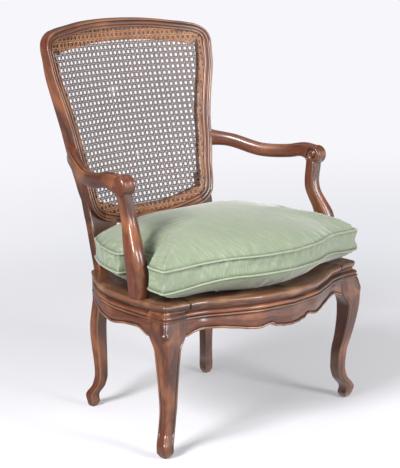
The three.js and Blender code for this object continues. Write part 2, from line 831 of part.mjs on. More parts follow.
function seat_cane() {
  const plate = plan_body(both_halves(seat_opening(seat_cane_lap)), 0, seat_height + overrun);
  const opening = both_halves(seat_opening(0)).map((p) => [p.x, p.y]);
  const middle = (corner_front - seat_bow) / 2;
  const columns = 2 * Math.ceil(seat_half_width / seat_cane_pitch);
  const rows = Math.ceil((seat_side_depth + seat_bow) / seat_cane_pitch);
  const surface = {
    front: (u, v) => at(u, v + middle, seat_height - cane_thickness),
    back: (u, v) => at(u, v + middle, seat_height),
  };
  const half = (seat_cane_pitch - seat_cane_strand) / 2;
  const open = (u, v) => hole_fits(opening, u, v + middle, half);
  return lattice(columns, rows, seat_cane_pitch, seat_cane_strand, surface, open).intersect(plate);
}

// Centre lines of the arm and its support.
const scroll_centre = at(
  seat_half_width - scroll_inset,
  lerp(corner_front, 0, scroll_place_share),
  seat_height + arm_rise,
);
const arm_root_z = seat_height + arm_root_rise;
const arm_root_x = back_edge(arm_root_z) - arm_root_inset;
const arm_root = at(arm_root_x, back_face(arm_root_x, arm_root_z) + arm_root_setback, arm_root_z);
const arm_end = scroll_centre.clone().add(at(0, 0, (scroll_diameter - arm_height) / 2));
const support_foot_y = lerp(corner_front, 0, support_place_share);
const support_base = at(side_edge(support_foot_y) - support_foot_width / 2, support_foot_y, seat_height);
const support_top = scroll_centre.clone().add(at(-support_top_inset, support_top_setback, -scroll_diameter / 4));

// A curve between two ends, through places given as shares of the way and of one size each.
function swept(from, to, shares, place) {
  return new THREE.CatmullRomCurve3([from, ...shares.map(place), to]);
}

const arm_path = swept(arm_root, arm_end, arm_path_shares, ([across, along, lift]) => at(
  lerp(arm_root.x, arm_end.x, across),
  lerp(arm_root.y, arm_end.y, along),
  lerp(arm_root.z, arm_end.z, along) + lift * arm_dip,
));
const support_path = swept(support_base, support_top, support_path_shares, ([out, along, up]) => at(
  lerp(support_base.x, support_top.x, up) + out * support_belly_width,
  lerp(support_base.y, support_top.y, along),
  lerp(support_base.z, support_top.z, up),
));

// An upright oval of eight points across a path.
function oval_ring(place, run, width, height) {
  const up = at(0, 0, 1).addScaledVector(run, -run.z).normalize();
  const side = run.clone().cross(up).normalize();
  const corners = [[1, 1], [-1, 1], [-1, -1], [1, -1]].map(([a, b]) => {
    return place.clone().addScaledVector(side, (a * width) / 2).addScaledVector(up, (b * height) / 2);
  });
  return clipped(corners, oval_share);
}

function arm_sweep() {
  const flare = follow(arm_flare_shares);
  const rings = steps(0, 1, arm_stations).map((t) => {
    const height = lerp(arm_height, arm_root_height, flare(t));
    return oval_ring(arm_path.getPointAt(t), arm_path.getTangentAt(t), arm_width, height);
  });
  return solid(loft(rings));
}

// The rolled end of the arm, a short bevelled drum lying across the chair.
function scroll(grow = 0) {
  const radius = scroll_diameter / 2 + grow;
  const half = scroll_width / 2 + grow;
  const profile = [
    [0, -half], [radius - scroll_bevel, -half], [radius, scroll_bevel - half],
    [radius, half - scroll_bevel], [radius - scroll_bevel, half], [0, half],
  ];
  const geometry = new THREE.LatheGeometry(profile.map(([r, h]) => new THREE.Vector2(r, h)), scroll_sides);
  geometry.rotateZ(Math.PI / 2);
  geometry.translate(scroll_centre.x, scroll_centre.y, scroll_centre.z);
  return solid(geometry);
}

function support_sweep() {
  const depth = follow([
    [0, support_foot_depth], [support_belly_share, support_belly_depth],
    [support_waist_share, support_waist_depth], [1, support_head_depth],
  ]);
  const width = follow([
    [0, support_foot_width], [support_belly_share, support_belly_width],
    [support_waist_share, support_waist_width], [1, support_head_width],
  ]);
  const rings = steps(0, 1, support_stations).map((t) => {
    const p = support_path.getPointAt(t);
    const w = width(t) / 2;
    const d = depth(t) / 2;
    const z = Math.max(p.z, seat_height + clearance);
    const corners = [[1, 1], [-1, 1], [-1, -1], [1, -1]].map(([a, b]) => at(p.x + a * w, p.y + b * d, z));
    return clipped(corners, support_round_share);
  });
  return solid(loft(rings));
}

// The notch clears the support over its whole height.
const [, support_lower, support_belly, support_waist] = support_path.points;
const notch_front = support_lower.y - support_belly_depth / 2 - notch_gap;
const notch_rear = support_waist.y + support_waist_depth / 2 + notch_gap;
const notch_inner = support_base.x - support_belly_width / 2 - notch_room;
const cushion_rear = post_front - cushion_rear_gap;

// Cushion plan: its free outline, and the same points pulled in round the arm supports.
function cushion_outline() {
  const front = steps(0, corner_half_width - cushion_corner, cushion_front_stations)
    .map((x) => at(x, front_edge(x) + cushion_front_inset, 0));
  const outside = (y) => {
    const share = (y - corner_front) / (cushion_rear - corner_front);
    return at(side_edge(y) - lerp(cushion_corner_inset, cushion_side_inset, share), y, 0);
  };
  const ear = [corner_front + cushion_corner, (corner_front + notch_front) / 2, notch_front - notch_gap];
  const notch = [
    notch_front,
    notch_front + notch_gap,
    (notch_front + notch_rear) / 2,
    notch_rear - notch_gap,
    notch_rear,
  ];
  const side = steps(notch_rear + notch_gap, cushion_rear - cushion_corner, cushion_side_stations);
  const rear = steps(seat_rear_half_width - cushion_corner, 0, cushion_rear_stations)
    .map((x) => at(x, cushion_rear, 0));
  const tip = at(seat_half_width + cushion_ear_reach, corner_front, 0);
  const free = [...front, tip, ...[...ear, ...notch, ...side].map(outside), ...rear];
  const cut = free.map((p) => {
    const within = p.y >= notch_front && p.y <= notch_rear && p.x > notch_inner;
    return within ? at(notch_inner, p.y, 0) : p.clone();
  });
  return { free: both_halves(free), cut: both_halves(cut) };
}

const cushion_plan = cushion_outline();
const cushion_middle = at(0, (corner_front - seat_bow + cushion_rear) / 2, 0);
const cushion_floor = seat_height + cushion_gap;
const bottom_seam = seat_height + cushion_bottom_seam;
const top_seam = bottom_seam + cushion_boxing;

// The seams rise a little away from the front corners.
function lift_share(p) {
  const away = Math.hypot(corner_half_width - Math.abs(p.x), p.y - corner_front);
  return THREE.MathUtils.smoothstep(away, 0, cushion_lift_reach);
}

// The outline drawn in to a share of its size. Its middle may drift to the rear.
function cushion_ring(share, z, lift, drift = 0) {
  const free_share = THREE.MathUtils.smoothstep(1 - share, ...notch_fade_shares);
  const middle = cushion_middle.clone().add(at(0, drift * (1 - share), 0));
  return cushion_plan.cut.map((p, i) => {
    const q = p.clone().lerp(cushion_plan.free[i], free_share).sub(cushion_middle).multiplyScalar(share);
    return q.add(middle).setZ(z + lift_share(p) * lift);
  });
}

function cushion_pad() {
  const under = bottom_seam - cushion_floor;
  const waist_lift = (cushion_bottom_lift + cushion_lift) / 2;
  return solid(loft([
    ...cushion_belly_shares.map(([share, drop]) => {
      return cushion_ring(share, bottom_seam - drop * under, (1 - drop) * cushion_bottom_lift);
    }),
    cushion_ring(1, bottom_seam, cushion_bottom_lift),
    cushion_ring(cushion_waist_share, (bottom_seam + top_seam) / 2, waist_lift),
    cushion_ring(1, top_seam, cushion_lift),
    ...cushion_crown_shares.map(([share, rise]) => {
      return cushion_ring(share, top_seam + rise * cushion_crown, (1 - rise) * cushion_lift, cushion_drift);
    }),
  ]));
}

// Self piping: a round cord sewn along a seam.
function piping(z, lift) {
  const radius = piping_diameter / 2;
  const line = cushion_ring(1, z, lift);
  const count = line.length;
  const rings = line.map((p, i) => {
    const run = line[(i + 1) % count].clone().sub(line[(i + count - 1) % count]).normalize();
    const out = at(run.y, -run.x, 0);
    const middle = p.clone().addScaledVector(out, radius + clearance);
    return steps(0, 2 * Math.PI, piping_sides).slice(1).map((turn) => {
      return middle.clone().addScaledVector(out, radius * Math.cos(turn)).setZ(p.z + radius * Math.sin(turn));
    });
  });
  return solid(loft(rings, true));
}

// Tenons, each as the two corners of a block across its joint.
const tenon_low = rail_top - tenon_shoulder - tenon_height;
const tenon_high = rail_top - tenon_shoulder;
const tenon_middle = (tenon_low + tenon_high) / 2;
const front_tenon_y = front_edge(front_joint) + tenon_shoulder;
const side_tenon_x = side_edge(side_joint) - tenon_shoulder;
const rear_tenon_x = side_inset(post_front, rail_thickness);
const back_tenon_y = -tenon_shoulder;
const post_joint = post_inner - post_chamfer;
const crest_joint = back_half_width * crest_joint_share;
const bottom_joint = seat_rear_half_width * bottom_joint_share;
const crest_z = back_top(crest_joint) - (moulding_width + border_top) / 2;
const crest_y = back_face(crest_joint, crest_z) + (crest_back - moulding_height) / 2;
const bottom_z = lerp(back_bottom, back_height, bottom_corner_share) + (moulding_width + border_bottom) / 2;
const bottom_y = back_face(bottom_joint, bottom_z) + (crest_back - moulding_height) / 2;
const crest_t = crest_tenon_thickness / 2;
const crest_h = crest_tenon_height / 2;
const support_t = support_tenon_size / 2;
const arm_t = arm_tenon_size / 2;
const root = clearance + tenon_root;

const tenons = {
  front: [
    at(front_joint - root, front_tenon_y, tenon_low),
    at(front_joint + tenon_length, front_tenon_y + tenon_thickness, tenon_high),
  ],
  side_front: [
    at(side_tenon_x - tenon_thickness, side_joint - tenon_length, tenon_low),
    at(side_tenon_x, side_joint + root, tenon_high),
  ],
  side_rear: [
    at(rear_tenon_x, post_front - root, tenon_low),
    at(rear_tenon_x + tenon_thickness, post_front + tenon_length, tenon_high),
  ],
  back: [
    at(post_joint - root, back_tenon_y - tenon_thickness, tenon_low),
    at(post_joint + tenon_length, back_tenon_y, tenon_high),
  ],
  crest: [
    at(crest_joint - root, crest_y - crest_t, crest_z - crest_h),
    at(crest_joint + crest_tenon_length, crest_y + crest_t, crest_z + crest_h),
  ],
  bottom: [
    at(bottom_joint - root, bottom_y - crest_t, bottom_z - crest_h),
    at(bottom_joint + crest_tenon_length, bottom_y + crest_t, bottom_z + crest_h),
  ],
  rim: [
    at(rim_joint - root, front_edge(rim_joint) + (rim_width - rim_tongue_width) / 2,
      rim_bottom + (rim_thickness - rim_tongue_thickness) / 2),
    at(rim_joint + rim_tongue, front_edge(rim_joint) + (rim_width + rim_tongue_width) / 2,
      rim_bottom + (rim_thickness + rim_tongue_thickness) / 2),
  ],
  support_foot: [
    at(support_base.x - support_t, support_base.y - support_t, seat_height - support_tenon_depth),
    at(support_base.x + support_t, support_base.y + support_t, seat_height + root),
  ],
  support_head: [
    at(support_top.x - arm_t, support_top.y - arm_t, support_top.z - scroll_diameter / 2),
    at(support_top.x + arm_t, support_top.y + arm_t, scroll_centre.z),
  ],
  arm: [
    at(arm_root.x - arm_tenon_length / 2, arm_root.y - arm_tenon_drop - arm_t, arm_root.z - arm_t),
    at(arm_root.x + arm_tenon_length, arm_root.y - arm_tenon_drop + arm_t, arm_root.z + arm_t),
  ],
};
const tenon = (name) => block(...tenons[name]);
const mortise = (name) => block(...tenons[name], clearance);

// A block on the far side of the chair, for a tenon that both ends of a rail carry.
const flipped = (manifold) => solid(mirrored(shape_of(manifold)));

// Pegs: a point on the tenon's middle and the direction in which the peg is driven.
const pegs = {
  front: [at(front_joint + peg_inset, front_tenon_y + tenon_thickness / 2, tenon_middle), at(0, 1, 0)],
  side_front: [at(side_tenon_x - tenon_thickness / 2, side_joint - peg_inset, tenon_middle), at(-1, 0, 0)],
  side_rear: [at(rear_tenon_x + tenon_thickness / 2, post_front + peg_inset, tenon_middle), at(-1, 0, 0)],
  back: [at(post_joint + peg_inset, back_tenon_y - tenon_thickness / 2, tenon_middle), at(0, -1, 0)],
  crest: [at(crest_joint + crest_tenon_length / 2, crest_y, crest_z), at(0, -1, 0)],
  bottom: [at(bottom_joint + crest_tenon_length / 2, bottom_y, bottom_z), at(0, -1, 0)],
  support: [at(support_base.x, support_base.y, tenon_middle), at(-1, 0, 0)],
};

function peg_body(name, grow = 0) {
  const [place, run] = pegs[name];
  const length = overrun + peg_depth / 2 + grow;
  const radius = peg_diameter / 2 + grow;
  const geometry = new THREE.CylinderGeometry(radius, radius, length, peg_sides);
  geometry.applyQuaternion(new THREE.Quaternion().setFromUnitVectors(at(0, 1, 0), run));
  const middle = place.clone().addScaledVector(run, (peg_depth / 2 + grow - overrun) / 2);
  geometry.translate(middle.x, middle.y, middle.z);
  return solid(geometry);
}

const peg = (name, wood) => peg_body(name).intersect(wood);
const drilled = (manifold, name) => manifold.subtract(peg_body(name, clearance));

// Blocks that part the back frame and the rim at their joints.
const far = 2 * back_height;
const slab = (half, low_y, high_y, low, high) => block(at(-half, low_y, low), at(half, high_y, high));

function back_pieces() {
  const frame = back_frame();
  const joint_zone = (back_height - back_bottom) * joint_zone_share;
  const crest_zone = (half) => slab(half, -far, far, back_height - joint_zone, far);
  const bottom_zone = (half) => slab(half, -far, far, -far, back_bottom + joint_zone);
  const crest = frame.intersect(crest_zone(crest_joint));
  const bottom = frame.intersect(bottom_zone(bottom_joint));
  const sides = frame.subtract(crest_zone(crest_joint + clearance)).subtract(bottom_zone(bottom_joint + clearance));
  const stile = sides.subtract(block(at(-far, -far, -far), at(0, far, far)));
  return { crest, bottom, stile };
}

function rim_pieces() {
  const frame = rim_frame();
  const neck = block(
    at(post_inner, neck_front, rim_bottom - overrun),
    at(seat_rear_half_width, far, seat_height + overrun),
    clearance,
  );
  const middle = corner_front / 2;
  const front = frame.intersect(slab(rim_joint, -far, side_joint, 0, far));
  const back = frame.intersect(slab(post_inner - clearance, middle, far, 0, far));
  const right = frame
    .subtract(slab(rim_joint + clearance, -far, side_joint, 0, far))
    .subtract(slab(post_inner, middle, far, 0, far))
    .subtract(neck)
    .subtract(block(at(0, -rim_tail, 0), at(far, far, far)));
  return { front, back, right: right.subtract(block(at(-far, -far, -far), at(0, far, far))) };
}

const { crest, bottom, stile } = back_pieces();
const rim = rim_pieces();
const leg = front_leg();
const post = post_leg().add(stile);
const side = side_rail();
const drum = scroll();
const arm = main_body(arm_sweep().subtract(back_frame(clearance))).add(drum);
const support = main_body(support_sweep().subtract(scroll(clearance)));
const both = (manifold) => manifold.add(flipped(manifold));

const chair = new THREE.Group();

function piece(name, manifold, material) {
  const mesh = new THREE.Mesh(shape_of(manifold), material);
  mesh.name = name;
  chair.add(mesh);
}

function pair(name, manifold, material) {
  const geometry = shape_of(manifold);
  const right = new THREE.Mesh(geometry, material);
  const left = new THREE.Mesh(mirrored(geometry), material);
  right.name = `${name}_right`;
  left.name = `${name}_left`;
  chair.add(right, left);
}

const finish = (color, roughness) => new THREE.MeshStandardMaterial({ color, roughness, metalness: 0 });
const wood = finish(walnut, polish_roughness);
const wood_dark = finish(peg_colour, polish_roughness);
const cane = finish(cane_colour, cloth_roughness);
const silk = finish(sage, cloth_roughness);
const silk_cord = finish(sage_piping, cloth_roughness);

pair('front_leg', ['front', 'side_front'].reduce((body, name) => {
  return drilled(body.subtract(mortise(name)), name);
}, leg), wood);
pair('back_post', ['side_rear', 'back', 'crest', 'bottom'].reduce((body, name) => {
  return drilled(body.subtract(mortise(name)), name);
}, post.subtract(mortise('arm'))), wood);
piece('crest_rail', crest.add(both(drilled(tenon('crest'), 'crest'))), wood);
piece('back_bottom_rail', bottom.add(both(drilled(tenon('bottom'), 'bottom'))), wood);
piece('cane_back', back_cane(), cane);
piece('seat_rail_front', front_rail().add(both(drilled(tenon('front'), 'front'))), wood);
piece('seat_rail_back', back_rail().add(both(drilled(tenon('back'), 'back'))), wood);
const side_ends = drilled(tenon('side_front'), 'side_front').add(drilled(tenon('side_rear'), 'side_rear'));
pair('seat_rail', drilled(side.subtract(mortise('support_foot')), 'support').add(side_ends), wood);
piece('seat_rim_front', rim.front.add(both(tenon('rim'))), wood);
piece('seat_rim_back', rim.back, wood);
pair('seat_rim', rim.right.subtract(mortise('rim')).subtract(mortise('support_foot')), wood);
piece('cane_seat', seat_cane(), cane);
pair('arm', arm.add(tenon('arm')).subtract(mortise('support_head')), wood);
pair('arm_support', support.add(drilled(tenon('support_foot'), 'support')).add(tenon('support_head')), wood);
pair('peg_front_rail', peg('front', leg), wood_dark);
pair('peg_side_rail_front', peg('side_front', leg), wood_dark);
pair('peg_side_rail_rear', peg('side_rear', post), wood_dark);
pair('peg_back_rail', peg('back', post), wood_dark);
pair('peg_crest', peg('crest', post), wood_dark);
pair('peg_bottom_rail', peg('bottom', post), wood_dark);
pair('peg_arm_support', peg('support', side), wood_dark);
piece('cushion', cushion_pad(), silk);
piece('cushion_piping_top', piping(top_seam, cushion_lift), silk_cord);
piece('cushion_piping_bottom', piping(bottom_seam, cushion_bottom_lift), silk_cord);

// The floor under the middle of the whole chair is its origin.
const bounds = new THREE.Box3().setFromObject(chair);
chair.position.y = -(bounds.min.y + bounds.max.y) / 2;

export default chair;
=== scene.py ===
# %% [markdown]
# A caned armchair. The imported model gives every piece's place, and this lesson gives the chair its
# looks: carved mouldings, woven cane, a stuffed silk cushion and polished wood.
# Shapes are written in millimetres, with the rear edge of the seat at y = 0, and one function puts
# them into the frame in metres.

import math
import random

import bmesh
import bpy
import numpy as np
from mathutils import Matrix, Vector


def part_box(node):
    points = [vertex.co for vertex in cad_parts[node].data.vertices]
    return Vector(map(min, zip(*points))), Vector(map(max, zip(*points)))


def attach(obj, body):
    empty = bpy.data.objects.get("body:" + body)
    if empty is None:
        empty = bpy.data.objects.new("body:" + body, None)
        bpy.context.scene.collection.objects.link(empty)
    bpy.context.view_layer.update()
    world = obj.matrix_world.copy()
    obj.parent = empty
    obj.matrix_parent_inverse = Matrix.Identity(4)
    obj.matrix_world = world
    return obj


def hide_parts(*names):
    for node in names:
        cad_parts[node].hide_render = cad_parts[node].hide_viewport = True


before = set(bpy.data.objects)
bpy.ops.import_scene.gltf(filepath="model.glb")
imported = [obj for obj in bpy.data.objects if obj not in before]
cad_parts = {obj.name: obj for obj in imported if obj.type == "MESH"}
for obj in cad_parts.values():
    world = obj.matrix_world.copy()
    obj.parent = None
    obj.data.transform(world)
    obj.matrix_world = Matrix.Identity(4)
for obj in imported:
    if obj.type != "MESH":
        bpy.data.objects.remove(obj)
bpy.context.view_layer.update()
MM = 0.001
rear_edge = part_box("seat_rim_back")[1].y
seat_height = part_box("seat_rim_back")[1].z / MM
back_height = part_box("crest_rail")[1].z / MM
print("frame:", len(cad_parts), "nodes, seat and back at", round(seat_height), round(back_height), "mm")


def to_frame(points):
    """Millimetres from the seat's rear edge, as metres in the frame."""
    return np.asarray(points, float) * MM + (0, rear_edge, 0)


# %% [markdown]
# The camera comes first. It stands before the chair's front left corner, a little above the seat,
# with a long lens, so that upright lines stay nearly parallel. It could be placed by hand and eye,
# but here its place was solved from points of the chair whose real places are known.

# %% Camera
view_azimuth = math.radians(-43.885)
view_elevation = math.radians(12.18)
view_distance = 3.642
view_target = Vector((0.034, 0.027, 0.442))
focal_px = 1420.6
image_height_px = 468
sensor_mm = 36


def add_object(name, data):
    """A new object in the scene, which holds this mesh, lamp or camera."""
    made = bpy.data.objects.new(name, data)
    bpy.context.scene.collection.objects.link(made)
    return made


def turn_to(thing, direction):
    thing.rotation_mode = "QUATERNION"
    thing.rotation_quaternion = direction.to_track_quat("-Z", "Y")


camera_data = bpy.data.cameras.new("camera")
camera_data.lens = focal_px * sensor_mm / image_height_px
camera_data.sensor_width = sensor_mm
camera = add_object("camera", camera_data)
backward = Vector((
    math.sin(view_azimuth) * math.cos(view_elevation),
    -math.cos(view_azimuth) * math.cos(view_elevation),
    math.sin(view_elevation),
))
camera.location = view_target + backward * view_distance
turn_to(camera, -backward)
bpy.context.scene.camera = camera
print("camera at", [round(v, 3) for v in camera.location], "lens", round(camera_data.lens, 1))

# %% [markdown]
# Nearly every piece of this chair is a section that travels: a moulding round the back, an oval
# along the arm, a square down the leg. A maker saws such a piece to a template and then carves it.
# Here a table of a few shares is the template, and a smooth curve follows it. A spline could run
# through the shares too, but it would swing past them where two of them are nearly equal.

# %% Smooth curves
tiny = 1e-9


def follow(table):
    """A smooth curve through rows of (key, value), which never overshoots them."""
    keys, values = np.array(table, float).T
    slopes = np.diff(values) / np.diff(keys)
    tangents = np.zeros(len(keys))
    tangents[0] = slopes[0]
    tangents[-1] = slopes[-1]
    before, after = slopes[:-1], slopes[1:]
    same = before * after > 0
    tangents[1:-1][same] = 2 * before[same] * after[same] / (before[same] + after[same])

    def value(key):
        key = np.clip(key, keys[0], keys[-1])
        i = np.clip(np.searchsorted(keys, key, side="right") - 1, 0, len(keys) - 2)
        span = keys[i + 1] - keys[i]
        t = (key - keys[i]) / span
        rise = 3 * t**2 - 2 * t**3
        lift = t * (1 - t) ** 2 * tangents[i] - t**2 * (1 - t) * tangents[i + 1]
        return values[i] * (1 - rise) + values[i + 1] * rise + lift * span

    return value


def smooth(key, low, high):
    t = np.clip((key - low) / (high - low), 0, 1)
    return t * t * (3 - 2 * t)


def lerp(a, b, share):
    return a + (b - a) * share


print("smooth curves: a table of 0 and 1 gives", float(follow([(0, 0), (1, 1)])(0.5)), "half way")

# %% [markdown]
# The main tool is a loft, which joins rings of equal count into one closed skin. A curve with a
# bevel object could sweep a section too, but its section stays the same all the way. A grid of
# rings may change at every step, and it knows each vertex's row and place, so that the grain of
# the wood can be worked out from it.


# %% Lofts and grain
def unit(vectors):
    return vectors / np.maximum(np.linalg.norm(vectors, axis=-1, keepdims=True), tiny)


def loft(rings, looped=False):
    """Vertices and faces of a body through rings of equal count, closed by its two end faces."""
    rings = np.asarray(rings, float)
    count, sides = rings.shape[:2]
    i, j = np.meshgrid(np.arange(count if looped else count - 1), np.arange(sides), indexing="ij")
    ahead = (i + 1) % count
    beside = (j + 1) % sides
    quads = [i * sides + j, i * sides + beside, ahead * sides + beside, ahead * sides + j]
    quads = np.stack(quads, -1)
    faces = quads.reshape(-1, 4).tolist()
    if not looped:
        faces.append(list(range(sides))[::-1])
        faces.append([(count - 1) * sides + k for k in range(sides)])
    return rings.reshape(-1, 3), faces


def grain_of(rings, upright=(0, 0, 1)):
    """Each vertex's place in the wood: along the grain, and across it in two directions."""
    rings = np.asarray(rings, float)
    middle = rings.mean(1)
    steps = np.gradient(middle, axis=0)
    run = np.concatenate([[0], np.cumsum(np.linalg.norm(np.diff(middle, axis=0), axis=1))])
    tangent = unit(steps)
    up = unit(np.array(upright, float) - tangent * (tangent @ np.array(upright, float))[:, None])
    side = np.cross(tangent, up)
    offset = rings - middle[:, None]
    across = np.einsum("nmk,nk->nm", offset, side)
    over = np.einsum("nmk,nk->nm", offset, up)
    along = run[:, None] + np.einsum("nmk,nk->nm", offset, tangent)
    return np.stack([along, across, over], -1).reshape(-1, 3)


print("loft: three rings of four points make", len(loft(np.zeros((3, 4, 3)))[1]), "faces")

# %% [markdown]
# Old wood is pale where hands and cloths rub it and dark where wax and dust gather. A painted mask
# could say where, but the rings say it by themselves: a point that stands out from its neighbours
# is rubbed, and one that falls in is dark. That dark is wax, and also painted shade, which falls in
# such hollows. This measure becomes an attribute of wear and painted light.

# %% Wear
bead_radius = 3.0
shortest_step = 0.5
strongest_wear = 2


def soften(rings, turns):
    """Rounds every ring, or evens out a value along it."""
    for _ in range(turns):
        rings = rings * 0.5 + (np.roll(rings, 1, 1) + np.roll(rings, -1, 1)) * 0.25
    return rings


def wear_of(rings):
    """How far each point stands out (+) or falls in (-) along its ring, near 1 on a bead."""
    rings = np.asarray(rings, float)
    before = np.roll(rings, 1, 1)
    after = np.roll(rings, -1, 1)
    facing = unit(np.cross(np.gradient(rings, axis=0), after - before))
    outward = np.sign((facing * (rings - rings.mean(1, keepdims=True))).sum())
    stand = ((rings - (before + after) / 2) * facing).sum(-1) * outward
    half = np.maximum(np.linalg.norm(after - before, axis=-1) / 2, shortest_step)
    bend = np.clip(2 * stand / half**2 * bead_radius, -strongest_wear, strongest_wear)
    return soften(bend, 1).ravel()


def swept(rings, upright=(0, 0, 1)):
    """A loft with its grain and wear, ready for make()."""
    points, faces = loft(rings)
    return points, faces, grain_of(rings, upright), wear_of(rings)


print("wear is a number from", -strongest_wear, "in a quirk to", strongest_wear, "on an edge")

# %% [markdown]
# A piece becomes a Blender mesh with two attributes that its material reads: "grain", the place in
# the wood, so that streaks follow a bent arm, and the measure of wear, which carries painted shade
# too. It could be shaped with modifiers, but a mesh written in one go has no history to go wrong.
# The chair is symmetric, so that a piece on the left is the right one mirrored.


# %% Making a piece
def face_outward(mesh, merge=0.0):
    """Turns every face outward, after joining the corners that lie closer than merge."""
    shell = bmesh.new()
    shell.from_mesh(mesh)
    if merge:
        bmesh.ops.remove_doubles(shell, verts=shell.verts, dist=merge)
    bmesh.ops.recalc_face_normals(shell, faces=shell.faces)
    shell.to_mesh(mesh)
    shell.free()


def add_attribute(mesh, name, kind, field, values):
    layer = mesh.attributes.new(name, kind, "POINT")
    layer.data.foreach_set(field, values.astype(np.float32).ravel())


def make(name, bodies, material, body="frame", nodes=(), slot="walnut", crease=50):
    """One piece from (vertices in mm, faces, grain, wear) bodies, smooth up to the crease angle."""
    vertices, faces, grains, wears = [], [], [], []
    base = 0
    for points, quads, grain, worn in bodies:
        vertices.append(points)
        grains.append(grain)
        wears.append(worn)
        faces.extend([[k + base for k in face] for face in quads])
        base += len(points)
    mesh = bpy.data.meshes.new(name)
    mesh.from_pydata(to_frame(np.concatenate(vertices)).tolist(), [], faces)
    face_outward(mesh)
    mesh.shade_smooth()
    mesh.set_sharp_from_angle(angle=math.radians(crease))
    add_attribute(mesh, "grain", "FLOAT_VECTOR", "vector", np.concatenate(grains) * MM)
    add_attribute(mesh, "wear_and_painted_light", "FLOAT", "value", np.concatenate(wears))
    mesh.materials.append(material)
    piece = add_object(name, mesh)
    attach(piece, body)
    if nodes:
        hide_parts(*nodes)
    return piece


def mirror(bodies):
    """The same bodies on the other side of the chair."""
    flipped = []
    for points, faces, grain, worn in bodies:
        flipped.append((points * (-1, 1, 1), [face[::-1] for face in faces], grain, worn))
    return flipped


def pair(name, bodies, material, **options):
    make(f"dressed_{name}_right", bodies, material, nodes=[f"{name}_right"], **options)
    make(f"dressed_{name}_left", mirror(bodies), material, nodes=[f"{name}_left"], **options)


print("pieces get two attributes: grain in metres, and wear")

# %% [markdown]
# Shader maths reads best as sums. A Math node could be made and linked for each step, but this
# class wraps a socket, so that `mask * 0.5 + 1` adds its Math nodes by itself.


# %% Numbers over a surface
class Wire:
    """A socket, mostly of a number that varies over a surface."""

    def __init__(self, finish, socket):
        self.finish = finish
        self.socket = socket

    def maths(self, operation, *values):
        node = self.finish.node("ShaderNodeMath", {"operation": operation}, dict(enumerate(values)))
        return Wire(self.finish, node.outputs[0])

    def __add__(self, other):
        return self.maths("ADD", self, other)

    def __radd__(self, other):
        return self.maths("ADD", other, self)

    def __sub__(self, other):
        return self.maths("SUBTRACT", self, other)

    def __rsub__(self, other):
        return self.maths("SUBTRACT", other, self)

    def __mul__(self, other):
        return self.maths("MULTIPLY", self, other)

    def __rmul__(self, other):
        return self.maths("MULTIPLY", other, self)

    def clipped(self):
        return self.maths("MAXIMUM", self.maths("MINIMUM", self, 1.0), 0.0)

    def step_up(self, low, high):
        """0 below low, 1 above high, smooth between."""
        settings = {"interpolation_type": "SMOOTHSTEP"}
        values = {"Value": self, "From Min": low, "From Max": high}
        node = self.finish.node("ShaderNodeMapRange", settings, values)
        return Wire(self.finish, node.outputs["Result"])


print("shader maths: sums, differences and products of", Wire.__name__, "make Math nodes")

# %% [markdown]
# A finish is a node tree under construction, of a material or of the world. Its nodes could be set
# one by one, but then the recipe would drown in them. So every node comes from one method, which
# takes its kind, its settings and the values or links of its sockets. The short methods after it
# are all that wood, cane, silk and floor need.


# %% Finishes
class Finish:
    def __init__(self, owner):
        self.owner = owner
        owner.use_nodes = True
        self.tree = owner.node_tree
        self.tree.nodes.clear()

    def node(self, kind, settings=None, values=None):
        node = self.tree.nodes.new(kind)
        for key, value in (settings or {}).items():
            setattr(node, key, value)
        for key, value in (values or {}).items():
            if isinstance(value, Wire):
                self.tree.links.new(value.socket, node.inputs[key])
            else:
                node.inputs[key].default_value = value
        return node

    def wire(self, kind, output, settings=None, values=None):
        return Wire(self, self.node(kind, settings, values).outputs[output])

    def noise(self, place, scale, detail=3.0, roughness=0.5, distortion=0.0):
        values = {"Vector": place, "Scale": scale, "Detail": detail}
        values["Roughness"] = roughness
        values["Distortion"] = distortion
        return self.wire("ShaderNodeTexNoise", "Fac", None, values)

    def mapped(self, place, scale):
        return self.wire("ShaderNodeMapping", "Vector", None, {"Vector": place, "Scale": scale})

    def attribute(self, name, output):
        return self.wire("ShaderNodeAttribute", output, {"attribute_name": name})

    def mix(self, share, low, high):
        """A colour between two, by a share."""
        settings = {"data_type": "RGBA"}
        values = {0: share, 6: low if isinstance(low, Wire) else (*low, 1)}
        values[7] = high if isinstance(high, Wire) else (*high, 1)
        return self.wire("ShaderNodeMix", 2, settings, values)

    def bumps(self, height, distance, strength=1.0):
        values = {"Height": height, "Distance": distance, "Strength": strength}
        return self.wire("ShaderNodeBump", "Normal", None, values)

    def measure(self, operation, *vectors):
        """A length, a distance or another number from vectors."""
        settings = {"operation": operation}
        return self.wire("ShaderNodeVectorMath", "Value", settings, dict(enumerate(vectors)))

    def glow(self, colour, strength):
        return self.wire("ShaderNodeEmission", 0, None, {"Color": colour, "Strength": strength})

    def either(self, share, first, second):
        """One shader where share is 0 and the other where it is 1."""
        return self.wire("ShaderNodeMixShader", 0, None, {0: share, 1: first, 2: second})

    def surface(self, **values):
        values = {key.replace("_", " "): value for key, value in values.items()}
        shader = self.wire("ShaderNodeBsdfPrincipled", "BSDF", None, values)
        self.node("ShaderNodeOutputMaterial", None, {"Surface": shader})
        return self.owner


def new_finish(name):
    return Finish(bpy.data.materials.new(name))


def tone(red, green, blue):
    """A colour as it looks on the screen, from 0 to 255, turned into the shader's linear one."""
    values = []
    for part in (red, green, blue):
        share = part / 255
        values.append(share / 12.92 if share <= 0.04045 else ((share + 0.055) / 1.055) ** 2.4)
    return tuple(values)


print("a middle grey of 128 is", round(tone(128, 128, 128)[0], 3), "in the shader")
